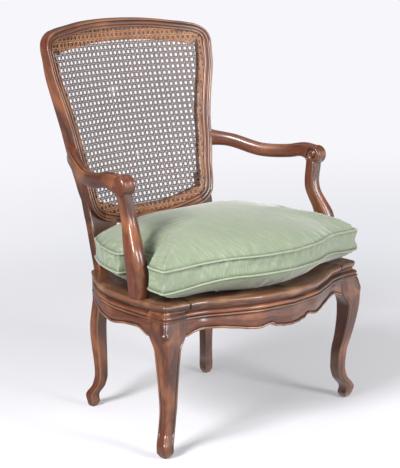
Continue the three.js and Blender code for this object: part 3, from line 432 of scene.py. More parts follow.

# %% [markdown]
# The wood is an old reddish walnut under wax. A scanned board could be wrapped round it, but an
# image would slide and stretch on the bent pieces. So it is made of noise laid along the grain:
# long streaks, wider patches and clouds, and fine pores that break the gloss. Rubbed edges turn
# tawny, and the quirks of the mouldings hold dark wax, with painted shade added in the same tone.

# %% Walnut
streak_scale = (10, 190, 190)
patch_scale = (9, 24, 24)
cloud_scale = (3, 9, 9)
pore_scale = (60, 1500, 1500)
wax_and_shade = tone(26, 13, 9)


def walnut(name, tones, seed):
    """A wood from its dark, middle, light and rubbed tones. The seed moves it to another board."""
    dark, middle, light, rubbed = (tone(*painted) for painted in tones)
    f = new_finish(name)
    grain = f.attribute("grain", "Vector")
    wear_and_painted_light = f.attribute("wear_and_painted_light", "Fac")
    board = {0: grain, 1: (seed, seed, 0)}
    shifted = f.wire("ShaderNodeVectorMath", "Vector", {"operation": "ADD"}, board)
    streak = f.noise(f.mapped(shifted, streak_scale), 1.0, 5.0, 0.6, 0.5)
    patch = f.noise(f.mapped(shifted, patch_scale), 1.0, 3.0, 0.6)
    cloud = f.noise(f.mapped(shifted, cloud_scale), 1.0, 2.0)
    pore = f.noise(f.mapped(shifted, pore_scale), 1.0, 2.0, 0.6)
    wood = f.mix(streak.step_up(0.22, 0.56), dark, middle)
    wood = f.mix(cloud.step_up(0.44, 0.64) * 0.6, wood, dark)
    wood = f.mix(patch.step_up(0.47, 0.72) * 0.7, wood, light)
    wood = f.mix(pore.step_up(0.6, 0.72) * 0.35, wood, dark)
    edge = wear_and_painted_light.step_up(0.25, 1.0) * patch.step_up(0.25, 0.6)
    wood = f.mix(edge * 0.4, wood, rubbed)
    # hollows take the dark wax tone, which also stands for painted shade in the quirks
    hollow = (0 - wear_and_painted_light).step_up(0.12, 0.7)
    wood = f.mix(hollow * 0.92, wood, wax_and_shade)
    height = streak * 0.3 + pore * -0.5
    return f.surface(
        Base_Color=wood,
        Roughness=0.36 + patch * 0.2 + hollow * 0.3,
        Coat_Weight=0.9,
        Coat_Roughness=0.2,
        Normal=f.bumps(height, 0.0003, 0.5),
    )


polished_tones = [(42, 19, 11), (104, 52, 30), (154, 95, 57), (174, 126, 90)]
rubbed_tones = [(54, 27, 17), (118, 70, 44), (182, 136, 96), (208, 166, 124)]
peg_tones = [(52, 26, 17), (90, 48, 32), (120, 74, 48), (150, 100, 66)]
polished = walnut("polished_walnut", polished_tones, 0.0)
rubbed_top = walnut("rubbed_walnut", rubbed_tones, 3.1)
peg_wood = walnut("peg_end_grain", peg_tones, 5.3)
print("wood finishes:", polished.name, rubbed_top.name, peg_wood.name)

# %% [markdown]
# The back frame is one closed outline in front view, laid on a leaning hollow cylinder. One
# moulding section runs round it: an outer bead, a broad swelling band and an inner bead. Each of
# its pieces could be lofted by itself, but then the beads would miss each other at the joints. So
# the outline is drawn once, as shares of the back's width and height, and cut at the joints.

# %% The back's outline
seat_rear_half_width = 213
back_gap = 90
back_bottom = seat_height + back_gap
back_half_width = 277
post_depth = 44
post_width = 38
post_inner = seat_rear_half_width - post_width
post_front = -post_depth
back_curve_radius = 800
back_lean_share = 0.263
back_setback = 3.7
post_middle = (post_inner + seat_rear_half_width) / 2
back_set = post_front + back_setback + post_middle**2 / (2 * back_curve_radius)
back_outline_shares = [
    (0, 1), (0.391, 0.993), (0.613, 0.979), (0.776, 0.968), (0.908, 0.952), (0.994, 0.923),
    (1.036, 0.881), (1.043, 0.824), (1.046, 0.749), (1.026, 0.669), (1.002, 0.582), (0.983, 0.491),
    (0.981, 0.413), (0.975, 0.325), (0.96, 0.237), (0.958, 0.158), (0.932, 0.105), (0.842, 0.065),
    (0.643, 0.035), (0.337, 0.01), (0, 0),
]


def through(points, count, closed=False):
    """Evenly spaced points on a centripetal curve through the given ones."""
    p = np.array(points, float)
    if closed:
        p = np.concatenate([p[-1:], p, p[:2]])
    else:
        p = np.concatenate([[2 * p[0] - p[1]], p, [2 * p[-1] - p[-2]]])
    fine = []
    parts = 40
    for i in range(1, len(p) - 2):
        a, b, c, d = p[i - 1], p[i], p[i + 1], p[i + 2]
        steps = (b - a, c - b, d - c)
        k0, k1, k2 = (math.sqrt(max(np.linalg.norm(step), tiny)) for step in steps)
        m1 = ((b - a) / k0 - (c - a) / (k0 + k1) + (c - b) / k1) * k1
        m2 = ((c - b) / k1 - (d - b) / (k1 + k2) + (d - c) / k2) * k1
        t = np.linspace(0, 1, parts, endpoint=False)[:, None]
        fine.append(
            (2 * t**3 - 3 * t**2 + 1) * b + (t**3 - 2 * t**2 + t) * m1
            + (3 * t**2 - 2 * t**3) * c + (t**3 - t**2) * m2
        )
    fine = np.concatenate(fine + [p[-2:-1]])
    run = np.concatenate([[0], np.cumsum(np.linalg.norm(np.diff(fine, axis=0), axis=1))])
    places = np.linspace(0, run[-1], count + 1 if closed else count)
    if closed:
        places = places[:-1]
    return np.stack([np.interp(places, run, fine[:, k]) for k in range(3)], 1)


def back_face(x, z):
    """How far forward or back the frame's front face lies: it leans, and is hollow in plan."""
    return back_set + back_lean_share * (z - seat_height) - x**2 / (2 * back_curve_radius)


def back_outline(count):
    half = [
        (x * lerp(seat_rear_half_width, back_half_width, z), 0, lerp(back_bottom, back_height, z))
        for x, z in back_outline_shares
    ]
    other = [(-x, 0, z) for x, _, z in half[1:-1][::-1]]
    return through(half + other, count, closed=True)


outline_count = 1440
outline = back_outline(outline_count)
outline_run = unit(np.roll(outline, -1, 0) - np.roll(outline, 1, 0))
outline_inward = np.stack([outline_run[:, 2], np.zeros(outline_count), -outline_run[:, 0]], 1)
print("back outline:", outline_count, "points,", round(np.ptp(outline[:, 0])), "mm wide")

# %% [markdown]
# A carver cuts this moulding with a few gouges, one for each bead and hollow. Bump could suggest it
# in the material, but its bright and dark lines are the first thing that one sees on such a chair,
# so it is real geometry. The wood inside the beads, which carries the cane, is wide under the crest
# and narrow at the sides, and its edge is bevelled behind.

# %% The back's moulding
moulding_width = 23
moulding_height = 8
border_side = 12
border_top = 33
border_bottom = 21
crest_back = 26
stile_back = 43
back_chamfer = 7
opening_lip = 12
opening_bevel_share = 0.75
opening_bevel = [(0, 0), (0.35, 0.35), (0.7, 0.7), (0.95, 0.95), (1, 1.2)]
bead = 3.1
quirk = 2.4
band_gap = 0.8
band_edge = 0.6
band_drop = 1.2
band_swell = 1.3
stile_back_shares = [
    (0, 0.5), (0.11, 0.55), (0.22, 0.95), (0.32, 1), (0.49, 0.97), (0.66, 0.72), (0.76, 0.42),
    (0.85, 0.14), (1, 0),
]
stile_back_share = follow(stile_back_shares)


def arc(middle_x, middle_y, radius, start, end, count):
    """Points of a circular moulding, by angle in degrees."""
    turn = np.radians(np.linspace(start, end, count))
    return [(middle_x + radius * math.cos(a), middle_y + radius * math.sin(a)) for a in turn]


def moulding_section():
    """(inset, depth) over the raised part: bead, quirk, swelling band, quirk, bead."""
    top = -moulding_height
    band_low = 2 * bead + band_gap
    band_high = moulding_width - 2 * bead - band_gap
    points = [(0, 0.6 * bead)]
    points += arc(bead, top + bead, bead, 180, 350, 9)
    points += [(band_low, top + quirk)]
    for t in np.linspace(0, 1, 8):
        swell = band_swell * math.sin(math.pi * t**0.8)
        points.append((lerp(band_low + band_edge, band_high - band_edge, t), top + band_drop - swell))
    points += [(band_high, top + quirk)]
    points += arc(moulding_width - bead, top + bead, bead, 190, 360, 9)
    points += [(moulding_width, -0.4), (moulding_width + 0.6, 0)]
    return points


def on_back(places, inward, inset, depth):
    q = places + inward * inset
    return np.stack([q[:, 0], back_face(q[:, 0], q[:, 2]) + depth, q[:, 2]], 1)


def sides_share(level):
    """0 where the frame runs one way and 1 where it runs the other, smooth at the corners."""
    return smooth(np.abs(level), 0.45, 0.95)


def cane_border(inward):
    """How wide the flat wood is between the moulding and the opening."""
    wide = np.where(inward[:, 2] < 0, border_top, border_bottom)
    return lerp(border_side, wide, sides_share(inward[:, 2]))


def at_outline(values, index):
    """Values of the closed outline at any places, counted in outline points."""
    wrap = np.arange(-outline_count, 2 * outline_count)
    return np.stack([np.interp(index, wrap, np.tile(values[:, k], 3)) for k in range(3)], 1)


def back_rings(start, end, count):
    """Rings of the back frame between two places of its outline."""
    index = np.linspace(start, end, count)
    places = at_outline(outline, index)
    inward = at_outline(outline_inward, index)
    rise = np.clip((places[:, 2] - back_bottom) / (back_height - back_bottom), 0, 1)
    behind = lerp(crest_back, stile_back, stile_back_share(rise) * sides_share(inward[:, 0]))
    opening = moulding_width + cane_border(inward)
    bevel = (behind - opening_lip) * opening_bevel_share
    columns = [on_back(places, inward, inset, depth) for inset, depth in moulding_section()]
    for before, depth in [(1.5, 0), (0.4, 0.4), (0, 1.5)]:
        columns.append(on_back(places, inward, (opening - before)[:, None], depth))
    for down, across in opening_bevel:
        far = (opening - bevel * across)[:, None]
        columns.append(on_back(places, inward, far, lerp(opening_lip, behind, down)))
    for inset, depth in arc(0, 0, back_chamfer, 90, 180, 5):
        near = np.full((count, 1), back_chamfer + inset)
        columns.append(on_back(places, inward, near, behind - back_chamfer + depth))
    return np.stack(columns, 1)


print("moulding:", len(moulding_section()), "points across", moulding_width, "mm")

# %% Crest, stiles and bottom rail
crest_joint = 0.84 * back_half_width
bottom_joint = 0.81 * seat_rear_half_width
joint_gap = 0.3
half_points = outline_count // 2
crest_end = int(np.argmax(outline[:half_points, 0] > crest_joint))
below = np.nonzero(outline[:half_points, 0] > bottom_joint)[0]
stile_end = int(below[-1])
crest_rings = back_rings(-crest_end + joint_gap, crest_end - joint_gap, 220)
stile_rings = back_rings(crest_end + joint_gap, stile_end - joint_gap, 220)
bottom_rings = back_rings(stile_end + joint_gap, outline_count - stile_end - joint_gap, 160)
make("dressed_crest_rail", [swept(crest_rings)], polished, nodes=["crest_rail"], crease=40)
make("dressed_back_bottom_rail", [swept(bottom_rings)], polished, nodes=["back_bottom_rail"], crease=40)
print("back frame: crest", crest_rings.shape, "stile", stile_rings.shape)

# %% [markdown]
# The seat's plan is bowed in front and tapers to the rear in a curve. Rim, rails and cushion could
# each have a plan of their own, but all follow the same two edges here, as they do on the chair,
# where one template marks them all.

# %% Seat plan
clearance = 0.3
seat_half_width = 338
seat_side_depth = 409
seat_bow = 92
corner_inset = 4
corner_half_width = seat_half_width - corner_inset
corner_front = -seat_side_depth
front_bow_shares = [(0, 0), (0.27, 0.13), (0.51, 0.47), (0.69, 0.77), (0.83, 0.89), (1, 1)]
side_taper_shares = [
    (0, 0.03), (0.11, 0), (0.28, 0.01), (0.43, 0.05), (0.63, 0.23), (0.82, 0.58), (1, 1),
]
bow_share = follow(front_bow_shares)
taper_share = follow(side_taper_shares)
leg_block_width = 65
leg_block_depth = 64
front_joint = corner_half_width - leg_block_width
side_joint = corner_front + leg_block_depth
rim_thickness = 18
rim_width = 86
rim_corner_cut = 9
rim_joint = front_joint - 4
rim_bottom = seat_height - rim_thickness
rail_top = rim_bottom - clearance


def front_edge(x):
    return corner_front - seat_bow * (1 - bow_share(np.abs(x) / corner_half_width))


def side_edge(y):
    return lerp(seat_half_width, seat_rear_half_width, taper_share((y - corner_front) / seat_side_depth))


def side_inset(y, inset, reach=5):
    """The side edge moved inwards, square to its own direction."""
    slant = (side_edge(y + reach) - side_edge(y - reach)) / (2 * reach)
    return side_edge(y) - inset * np.hypot(1, slant)


print("seat:", 2 * corner_half_width, "mm between corners,", seat_side_depth + seat_bow, "mm deep")

# %% [markdown]
# The rim is a flat frame with a rounded nose, which holds the cane and laps over the rails. A plank
# with a bevel would do for a straight seat. Here the section is drawn once, as insets from the edge
# and heights, and is carried along the outer edge, while the inner edge keeps the opening's shape.

# %% Rim of the seat
nose = 6.5
rim_inner_lip = 3
corner_push = 1.5


def rim_outer(count_front, count_side):
    """Edge points and inward directions from the middle of the front to the rear corner."""
    x = np.linspace(0, corner_half_width - rim_corner_cut, count_front)
    y = np.linspace(corner_front + rim_corner_cut, 0, count_side)
    front = np.stack([x, front_edge(x), np.zeros(count_front)], 1)
    side = np.stack([side_edge(y), y, np.zeros(count_side)], 1)
    turn = np.linspace(0, 1, 9)[1:-1, None]
    corner = np.array([corner_half_width + corner_push, corner_front - corner_push, 0])
    cut = (1 - turn) ** 2 * front[-1] + 2 * turn * (1 - turn) * corner + turn**2 * side[0]
    edge = np.concatenate([front, cut, side])
    run = unit(np.gradient(edge, axis=0))
    inward = np.stack([-run[:, 1], run[:, 0], np.zeros(len(edge))], 1)
    limit = corner_half_width - rim_width
    inner_x = np.minimum(edge[:, 0] + inward[:, 0] * rim_width, limit)
    inner_front = np.stack([inner_x, front_edge(inner_x) + rim_width, np.zeros(len(edge))], 1)
    inner_y = np.maximum(edge[:, 1], corner_front + rim_width + rim_corner_cut)
    inner_side = np.stack([side_edge(inner_y) - rim_width, inner_y, np.zeros(len(edge))], 1)
    on_side = (np.arange(len(edge)) > count_front + 3)[:, None]
    inner = np.where(on_side, inner_side, inner_front)
    return edge, inward, inner


def rim_rings(edge, inward, inner):
    low, high = rim_bottom, seat_height
    section = [(5.5, low), (4.2, low + 1.8), (2.6, low + 2.6)]
    section += [(nose - 0.4 + px, pz + high - nose) for px, pz in arc(0, 0, nose, 215, 90, 10)]
    columns = [edge + inward * inset + (0, 0, height) for inset, height in section]
    across = inner - edge
    for share in (0.2, 0.5, 0.8):
        columns.append(edge + across * share + (0, 0, high))
    columns.append(inner - inward * rim_inner_lip + (0, 0, high))
    columns.append(inner - inward * 0.6 + (0, 0, high - 1))
    columns.append(inner + (0, 0, high - rim_inner_lip))
    columns.append(inner + (0, 0, low))
    columns.append(edge + across * 0.5 + (0, 0, low))
    return np.stack(columns, 1)


edge, inward, inner = rim_outer(90, 110)
half_rings = rim_rings(edge, inward, inner)
print("rim: half of it is", len(half_rings), "rings")

# %% [markdown]
# The rim is rubbed pale where hands and legs pass, and under the cushion it is given a painted
# shadow of the cushion. A second material could show that. It is simpler to lower the measure of
# wear at the section's inner points, which the cushion covers, so that they take the dark tone.

# %% Pieces of the rim
# painted shadow of the cushion: the wear measure is lowered on the section's inner columns
under_cushion_shade = [(12, 0), (13, -0.14), (14, -0.42), (15, -0.5), (20, -0.5)]


def shaded_under_cushion(rings):
    """A rim piece with a painted shadow of the cushion on its inner part."""
    points, faces, grain, wear_and_painted_light = swept(rings)
    columns, darker = np.array(under_cushion_shade, float).T
    shade = np.interp(np.arange(rings.shape[1]), columns, darker)
    return points, faces, grain, wear_and_painted_light + np.tile(shade, len(rings))


rim_tail = 12
before_corner = (edge[:, 0] < rim_joint) & (edge[:, 1] < corner_front)
front_half = np.nonzero(before_corner)[0]
side_half = np.nonzero(~before_corner & (edge[:, 1] < -rim_tail))[0]
right_half = half_rings[front_half]
left_half = right_half[1:][::-1] * (-1, 1, 1)
rim_front = shaded_under_cushion(np.concatenate([left_half, right_half]))
make("dressed_seat_rim_front", [rim_front], rubbed_top, nodes=["seat_rim_front"], crease=45)
pair("seat_rim", [shaded_under_cushion(half_rings[side_half])], rubbed_top, crease=45)
print("rim: front", len(front_half) * 2 - 1, "rings, side", len(side_half), "rings")

# %% [markdown]
# The rim's rear piece is a straight bar between the posts. A cube with a bevel would give its
# shape, but a row of equal rings gives it the same grain and wear as its neighbours, and the
# same helper makes the rails, whose section changes along the way.


# %% Rear rim
def bar_rings(end, count, section_at):
    """A bar across the chair, whose section of (y, z) points depends on x."""
    rings = []
    for x in np.linspace(-end, end, count):
        rings.append([(x, y, z) for y, z in section_at(x)])
    return np.array(rings)


rear_rim_section = [
    (0, rim_bottom + 2), (0, seat_height - 4), (-1.2, seat_height - 1.2), (-4, seat_height),
    (-rim_width + 3, seat_height), (-rim_width, seat_height - 3), (-rim_width, rim_bottom),
    (-2, rim_bottom),
]
rear_rim = swept(bar_rings(post_inner - 2, 24, lambda x: rear_rim_section))
make("dressed_seat_rim_back", [rear_rim], rubbed_top, nodes=["seat_rim_back"], crease=45)
print("rear rim:", len(rear_rim[0]), "points")

# %% [markdown]
# Each rail has a quirk under the rim, a bead, and a swelling face that ends in a carved edge bead.
# The apron's wavy lower edge could be cut out of a board with a boolean, but then the edge bead
# could not follow it. So the section is built anew at every step, down to the edge's own height,
# which is a table of shares.

# %% Section of the rails
rail_thickness = 34
rail_face_inset = 5
joint_overlap = 7
joint_ease = 45
apron_bead = 3.0
front_apron_drop = 89
front_apron_rise = 18
front_apron_shares = [
    (0, 0), (0.06, 0.05), (0.1, 0.06), (0.125, 0.18), (0.15, 0.23), (0.185, 0.28), (0.205, 0.5),
    (0.225, 0.68), (0.26, 0.69), (0.3, 0.53), (0.34, 0.4), (0.39, 0.36), (0.44, 0.47), (0.48, 0.51),
    (0.52, 0.64), (0.56, 0.72), (0.63, 0.84), (0.68, 0.98), (0.74, 1.03), (0.84, 1.05), (0.93, 0.84),
    (1, 0.42),
]
side_apron_drop = 78
side_apron_rise = 12
side_apron_shares = [(0, -0.2), (0.12, 0.9), (0.25, 0.75), (0.47, 0), (0.65, 0.35), (0.85, 0.9), (1, 1)]
front_apron = follow(front_apron_shares)
side_apron = follow(side_apron_shares)


def front_rail_bottom(x):
    return seat_height - front_apron_drop + front_apron_rise * front_apron(np.abs(x) / front_joint)


def side_rail_bottom(y):
    share = (y - side_joint) / (post_front - side_joint)
    return seat_height - side_apron_drop + side_apron_rise * side_apron(share)


def rail_profile(bottom, ease=1.0):
    """(inset, height) rows down the front and up the back. The swelling fades as ease nears 0."""
    top = rail_top
    under_rim = [(9.5, top), (9.5, top - 4.0), (5.4, top - 5.2)]
    large_bead = arc(5.6, top - 10.6, 4.6, 130, 235, 8)
    groove = [(6.2, top - 15.6), (4.9, top - 16.6)]
    small_bead = arc(4.0, top - 19.6, 1.8, 120, 240, 5)
    face = [(5.4, top - 22)]
    face_low = bottom + 2 * apron_bead + 1.4
    for t in np.linspace(0, 1, 9):
        swell = 6.2 - 3.6 * math.sin(math.pi * min(t * 1.05, 1) ** 1.4)
        face.append((lerp(rail_face_inset, swell, ease), lerp(top - 23, face_low, t)))
    edge_quirk = [(7.0, bottom + 2 * apron_bead + 0.2)]
    edge_bead = arc(6.2, bottom + apron_bead, apron_bead, 110, 262, 8)
    behind = [(8.5, bottom), (rail_thickness - 2, bottom), (rail_thickness, bottom + 2)]
    behind += [(rail_thickness, top)]
    return under_rim + large_bead + groove + small_bead + face + edge_quirk + edge_bead + behind


print("rail section:", len(rail_profile(rail_top - 60)), "points")


# %% Front and side rails
def front_rail_section(x):
    ease = 1 - smooth(abs(x), front_joint - joint_ease, front_joint)
    y = float(front_edge(x))
    return [(y + inset, z) for inset, z in rail_profile(float(front_rail_bottom(x)), float(ease))]


def side_rail_rings(count=150):
    rings = []
    for y in np.linspace(side_joint - joint_overlap, post_front + joint_overlap, count):
        ease = smooth(y, side_joint, side_joint + joint_ease)
        profile = rail_profile(float(side_rail_bottom(y)), float(ease))
        rings.append([(float(side_inset(y, inset)), y, z) for inset, z in profile])
    return np.array(rings)


rail_front = swept(bar_rings(front_joint + joint_overlap, 260, front_rail_section))
make("dressed_seat_rail_front", [rail_front], polished, nodes=["seat_rail_front"], crease=40)
pair("seat_rail", [swept(side_rail_rings())], polished, crease=40)
print("rails: front", len(rail_front[0]), "points, and two sides")

# %% [markdown]
# Nobody sees the rear rail, so its maker left it plain, with only a slight arch below. It could be
# the CAD solid with a wood finish, but then its edges would be too sharp beside the others.

# %% Rear rail
rear_rail_end = post_inner - 4.3
rear_rail_drop = 66
rear_rail_arch = 8


def rear_rail_section(x):
    bottom = seat_height - rear_rail_drop + rear_rail_arch * (1 - (x / rear_rail_end) ** 2)
    front = [(-33, bottom), (-35, bottom + 2), (-35, rail_top)]
    return [(-1, rail_top), (-1, bottom + 2.5), (-1.8, bottom + 0.8), (-3.5, bottom)] + front


rail_back = swept(bar_rings(rear_rail_end, 60, rear_rail_section))
make("dressed_seat_rail_back", [rail_back], polished, nodes=["seat_rail_back"], crease=45)
print("rear rail:", len(rail_back[0]), "points")

# %% [markdown]
# A front leg is sawn from one thick square post: it swings out at the knee and in at the ankle,
# under a block that the rails run into. A subdivided box could be pulled into shape by hand. Here
# a table gives the square's reach and size at a few heights, and every ring has eight corner
# points, so that the leg's square can be blended into the block's plan.

# %% Rings of a leg
front_foot_inset = 15.2
front_foot_setback = 18
ear_drop = 81
knee_drop = 110
ankle_height = 86
pad_height = 29
contact_width = 20
leg_depth_share = 1.03
arris_share = 0.06
round_arris_share = 0.13
shank_shift = 7
block_chamfer = 14
corner_places = [0, 0.25, 0.5, 0.75]
face_places = [
    0, 0.06, 0.12, 0.18, 0.24, 0.3, 0.36, 0.42, 0.48, 0.54, 0.6, 0.66, 0.71, 0.75, 0.79, 0.83,
    0.87, 0.91, 0.94, 0.97,
]


def clipped(corners, shares=(round_arris_share, arris_share, arris_share, arris_share)):
    """Eight points from four corners, each corner cut by a share of its two sides."""
    corners = np.array(corners)
    shares = np.array(shares)[:, None]
    before = lerp(corners, np.roll(corners, 1, 0), shares)
    after = lerp(corners, np.roll(corners, -1, 0), shares)
    return np.stack([before, after], 1).reshape(8, 3)


def kite(foot, side, reach, width, depth, shift, z):
    """A square turned on its corner, which points forward where side is -1 and back where it is 1."""
    out = np.array([1, side, 0]) * math.sqrt(0.5)
    across = np.array([1, -side, 0]) * math.sqrt(0.5)
    middle = foot - across * shift + out * (reach - depth / 2)
    forth = out * depth / 2
    aside = across * width / 2
    ring = clipped([middle + forth, middle + aside, middle - forth, middle - aside])
    ring[:, 2] = z
    return ring


def dense(ring):
    """Many points on an eight-point ring, with face points crowded towards the beads."""
    points = []
    for k in range(8):
        a, b = ring[k], ring[(k + 1) % 8]
        places = corner_places if k % 2 == 0 else face_places
        if k == 7:
            places = [0] + [1 - p for p in face_places[:0:-1]]
        points += [lerp(a, b, p) for p in places]
    return np.array(points)


def shank(foot, side, rows, top, count):
    """Rings from the floor to top, from rows of (height, reach, width, depth, shift)."""
    keys = [row[0] for row in rows]
    tables = [follow(list(zip(keys, [row[k] for row in rows]))) for k in (1, 2, 3, 4)]
    pad_top = pad_height * 1.4
    heights = np.concatenate([np.linspace(0, pad_top, 26), np.linspace(pad_top, top, count)[1:]])
    return [kite(foot, side, *(float(table(z)) for table in tables), z) for z in heights]


print("leg rings:", 4 * (len(corner_places) + len(face_places)), "points each")

# %% [markdown]
# The apron's edge bead runs on down the leg, two small lobes are carved over the knee, and the
# corner above is rounded. A sculpting brush could raise them, but a script can't hold a brush. So
# each carving is a small sum that moves the rings' points along their outward directions.

# %% Carving on the legs
edge_bead_place = 3.0
edge_bead_width = 2.0
edge_bead_height = 0.8
edge_quirk_place = 7.2
edge_quirk_width = 1.6
knee_lobes = [(-7, 2.6, 7.5), (8, 2.6, 7.5)]
knee_lobe_drop = 69
knee_lobe_power = 1.3
corner_sag = 0.2
moulded_height = 24


def bump(distance, width):
    """A soft ridge, 1 at its middle."""
    return np.exp(-((distance / width) ** 2))


def facings(rings):
    """Level outward directions of all points."""
    tangent = np.roll(rings, -1, 1) - np.roll(rings, 1, 1)
    return unit(np.stack([tangent[..., 1], -tangent[..., 0], np.zeros(tangent.shape[:2])], -1))


def carve_edges(rings, fade):
    """Raises a bead with a quirk beside it along the outer edges of the two front faces."""
    rings = rings.copy()
    facing = facings(rings)
    sides = len(rings[0])
    side_face = len(corner_places) + len(face_places)
    front_face = sides - len(face_places)
    for edge_index, low, high in (
        (side_face, len(corner_places), side_face), (front_face, front_face, sides),
    ):
        anchor = rings[:, edge_index][:, None]
        away = np.linalg.norm(rings[:, low:high] - anchor, axis=-1)
        raised = edge_bead_height * bump(away - edge_bead_place, edge_bead_width)
        lift = raised - edge_bead_height * bump(away - edge_quirk_place, edge_quirk_width)
        rings[:, low:high] += facing[:, low:high] * (lift * fade[:, None])[..., None]
    return rings


def carve_knee(rings):
    """Two small carved lobes side by side over the knee, counted from the outer corner."""
    step = np.linalg.norm(np.roll(rings, -1, 1) - rings, axis=-1)
    place = np.cumsum(step, axis=1) - step
    middle = place[:, len(corner_places) // 2][:, None]
    total = step.sum(1, keepdims=True)
    place = (place - middle + total / 2) % total - total / 2
    up = rings[..., 2] - (seat_height - knee_lobe_drop)
    lift = np.zeros(place.shape)
    for along, height, size in knee_lobes:
        away = np.hypot((place - along) / size, up / size)
        lift += height * np.clip(1 - away**2, 0, 1) ** knee_lobe_power
    return rings + facings(rings) * lift[..., None]


def round_corner(rings, amount):
    """Turns the flat on the outer corner into an arc, by the given amount in each ring."""
    last = len(corner_places)
    chord = rings[:, last] - rings[:, 0]
    sag = np.stack([chord[:, 1], -chord[:, 0], np.zeros(len(rings))], -1) * corner_sag
    rings = rings.copy()
    for k, t in enumerate(corner_places + [1.0]):
        rings[:, k] += sag * (4 * t * (1 - t) * amount)[:, None]
    return rings


def ease_rows(rings, middle, reach, turns):
    """Evens out the rings above and below a height, so that no crease runs round there."""
    near = 1 - smooth(np.abs(rings[:, :1, 2:] - middle), reach / 2, reach)
    for _ in range(turns):
        even = rings.copy()
        even[1:-1, :, :2] = rings[1:-1, :, :2] * 0.5 + (rings[2:, :, :2] + rings[:-2, :, :2]) * 0.25
        rings = lerp(rings, even, near)
    return rings


def mould_block(rings):
    """Carries the rail's bead and quirks round the block, over its front and side faces."""
    z = rings[:, 0, 2]
    profile = rail_profile(float(front_rail_bottom(front_joint)))
    front = np.array(profile[:-4])
    order = np.argsort(front[:, 1])
    inset = np.interp(z, front[order, 1], front[order, 0]) - rail_face_inset
    shift = np.where(z > rail_top - moulded_height, inset, 0)
    out = rings - rings.mean(1, keepdims=True)
    out[..., 2] = 0
    outer = np.zeros(rings.shape[1])
    outer[: len(corner_places) + len(face_places) + 1] = 1
    outer[-len(face_places):] = 1
    return rings - unit(out) * (shift[:, None] * outer)[..., None]


print("carving: a bead on two edges,", len(knee_lobes), "lobes over the knee")

# %% [markdown]
# The front leg's tables and its block come together here. Between knee and block the square's
# corners are blended into the block's corners, row by row. A boolean union of leg and block would
# leave a crease there, which the light finds at once, so the rows near it are evened out too.

# %% Front legs
front_leg_swing = [(0.22, 0.07, 0.13), (0.5, 0.45, 0.36), (0.82, 0.84, 0.74), (1, 1, 1)]
shank_size = 42.5
knee_size = 66
ankle_reach = 5.5
knee_reach = 40.5
ear_reach = 36
block_bead_drop = 19


def block_ring(z, swell):
    """The block's plan: outer corner, side joint, inner corner and front joint."""
    corner = np.array([corner_half_width, corner_front, 0])
    inner_corner = corner + (-rail_thickness, rail_thickness, 0)
    joint_y = float(front_edge(front_joint))
    ring = np.array([
        corner + (-rim_corner_cut + swell, -swell, 0), corner + (swell, rim_corner_cut - swell, 0),
        (float(side_inset(side_joint, rail_face_inset)), side_joint, 0),
        (float(side_inset(side_joint, rail_thickness)), side_joint, 0),
        inner_corner + (0, block_chamfer, 0), inner_corner + (-block_chamfer, 0, 0),
        (front_joint, joint_y + rail_thickness, 0), (front_joint, joint_y + rail_face_inset, 0),
    ])
    ring[:, 2] = z
    return ring


def front_leg_rings():
    foot = np.array([corner_half_width - front_foot_inset, corner_front + front_foot_setback, 0])
    knee = seat_height - knee_drop
    ear = seat_height - ear_drop
    w = contact_width
    deep = shank_size * leg_depth_share
    rows = [
        (0, w * 0.65, w, w * leg_depth_share, 0), (2.5, w * 0.85, w * 1.35, w * 1.4, 0),
        (pad_height * 0.5, 25.8, 43, 43, 0), (pad_height, 30, 43, 43 * leg_depth_share, 0),
        (pad_height * 2, 11, shank_size, deep, shank_shift * 0.35),
        (ankle_height, ankle_reach, shank_size, deep, shank_shift * 0.7),
    ]
    for up, out, wide in front_leg_swing:
        size = lerp(shank_size, knee_size, wide)
        reach = lerp(ankle_reach, knee_reach, out)
        rows.append((lerp(ankle_height, knee, up), reach, size, size, shank_shift))
    low = shank(foot, -1, rows, knee, 64)
    swing = corner_half_width - foot[0]
    ear_share = follow([(0, 0), (0.45, 0.2), (0.8, 0.5), (1, 1)])
    top_kite = low[-1]
    ear_ring = block_ring(ear, swing)
    for t in np.linspace(0, 1, 26)[1:]:
        ring = lerp(top_kite, ear_ring, float(ear_share(t)))
        ring[:, 2] = lerp(knee, ear, t)
        low.append(ring)
    face_top = rail_top - block_bead_drop
    bulge = follow([(ear, 1), ((ear + face_top) / 2, 0.75), (face_top, 0.35), (rail_top, 0)])
    for z in np.linspace(ear, rail_top, 46)[1:]:
        low.append(block_ring(z, swing * float(bulge(z))))
    rings = soften(np.array([dense(ring) for ring in low]), 3)
    z = rings[:, 0, 2]
    fade = smooth(z, pad_height * 0.9, pad_height * 2) * (1 - smooth(z, ear - 12, ear + 2))
    rings = ease_rows(rings, ear + 2, ear_reach, 120)
    rings = round_corner(rings, smooth(rings[:, 0, 2], ear - 10, ear + 10))
    return mould_block(carve_knee(carve_edges(rings, fade)))


leg_rings = front_leg_rings()
pair("front_leg", [swept(leg_rings, (1, 0, 0))], polished, crease=55)
print("front legs:", leg_rings.shape)

# %% [markdown]
# A back post is leg, neck and stile in one piece of wood. The leg is plain, the neck leans with
# the back, and the stile carries the moulding. One loft for all three would have to turn from the
# neck's plain square to the moulding at once. So the lower part is a loft like the front leg's,
# and the stile's rings are the ones that were cut from the back's outline.

# %% Back posts
post_chamfer = 4
neck_rise = 191
neck_depth = 29
neck_back_inset = 8
neck_front = float(back_face(post_inner, seat_height))
neck_bracket = 52
rear_foot = np.array([seat_rear_half_width - 9.5, 11.0, 0])


def post_ear_ring(z):
    """The post's plan where the rails meet it."""
    outer = float(side_inset(post_front, rail_face_inset))
    inner = float(side_inset(post_front, rail_thickness))
    joint_x = post_inner - post_chamfer
    return np.array([
        (seat_rear_half_width - post_chamfer, 0, z), (seat_rear_half_width, -post_chamfer, z),
        (outer, post_front, z), (inner, post_front, z), (post_inner + post_chamfer, post_front, z),
        (joint_x, post_front + post_chamfer * 2, z), (joint_x, -post_chamfer * 2, z),
        (joint_x + post_chamfer, -1, z),
    ])


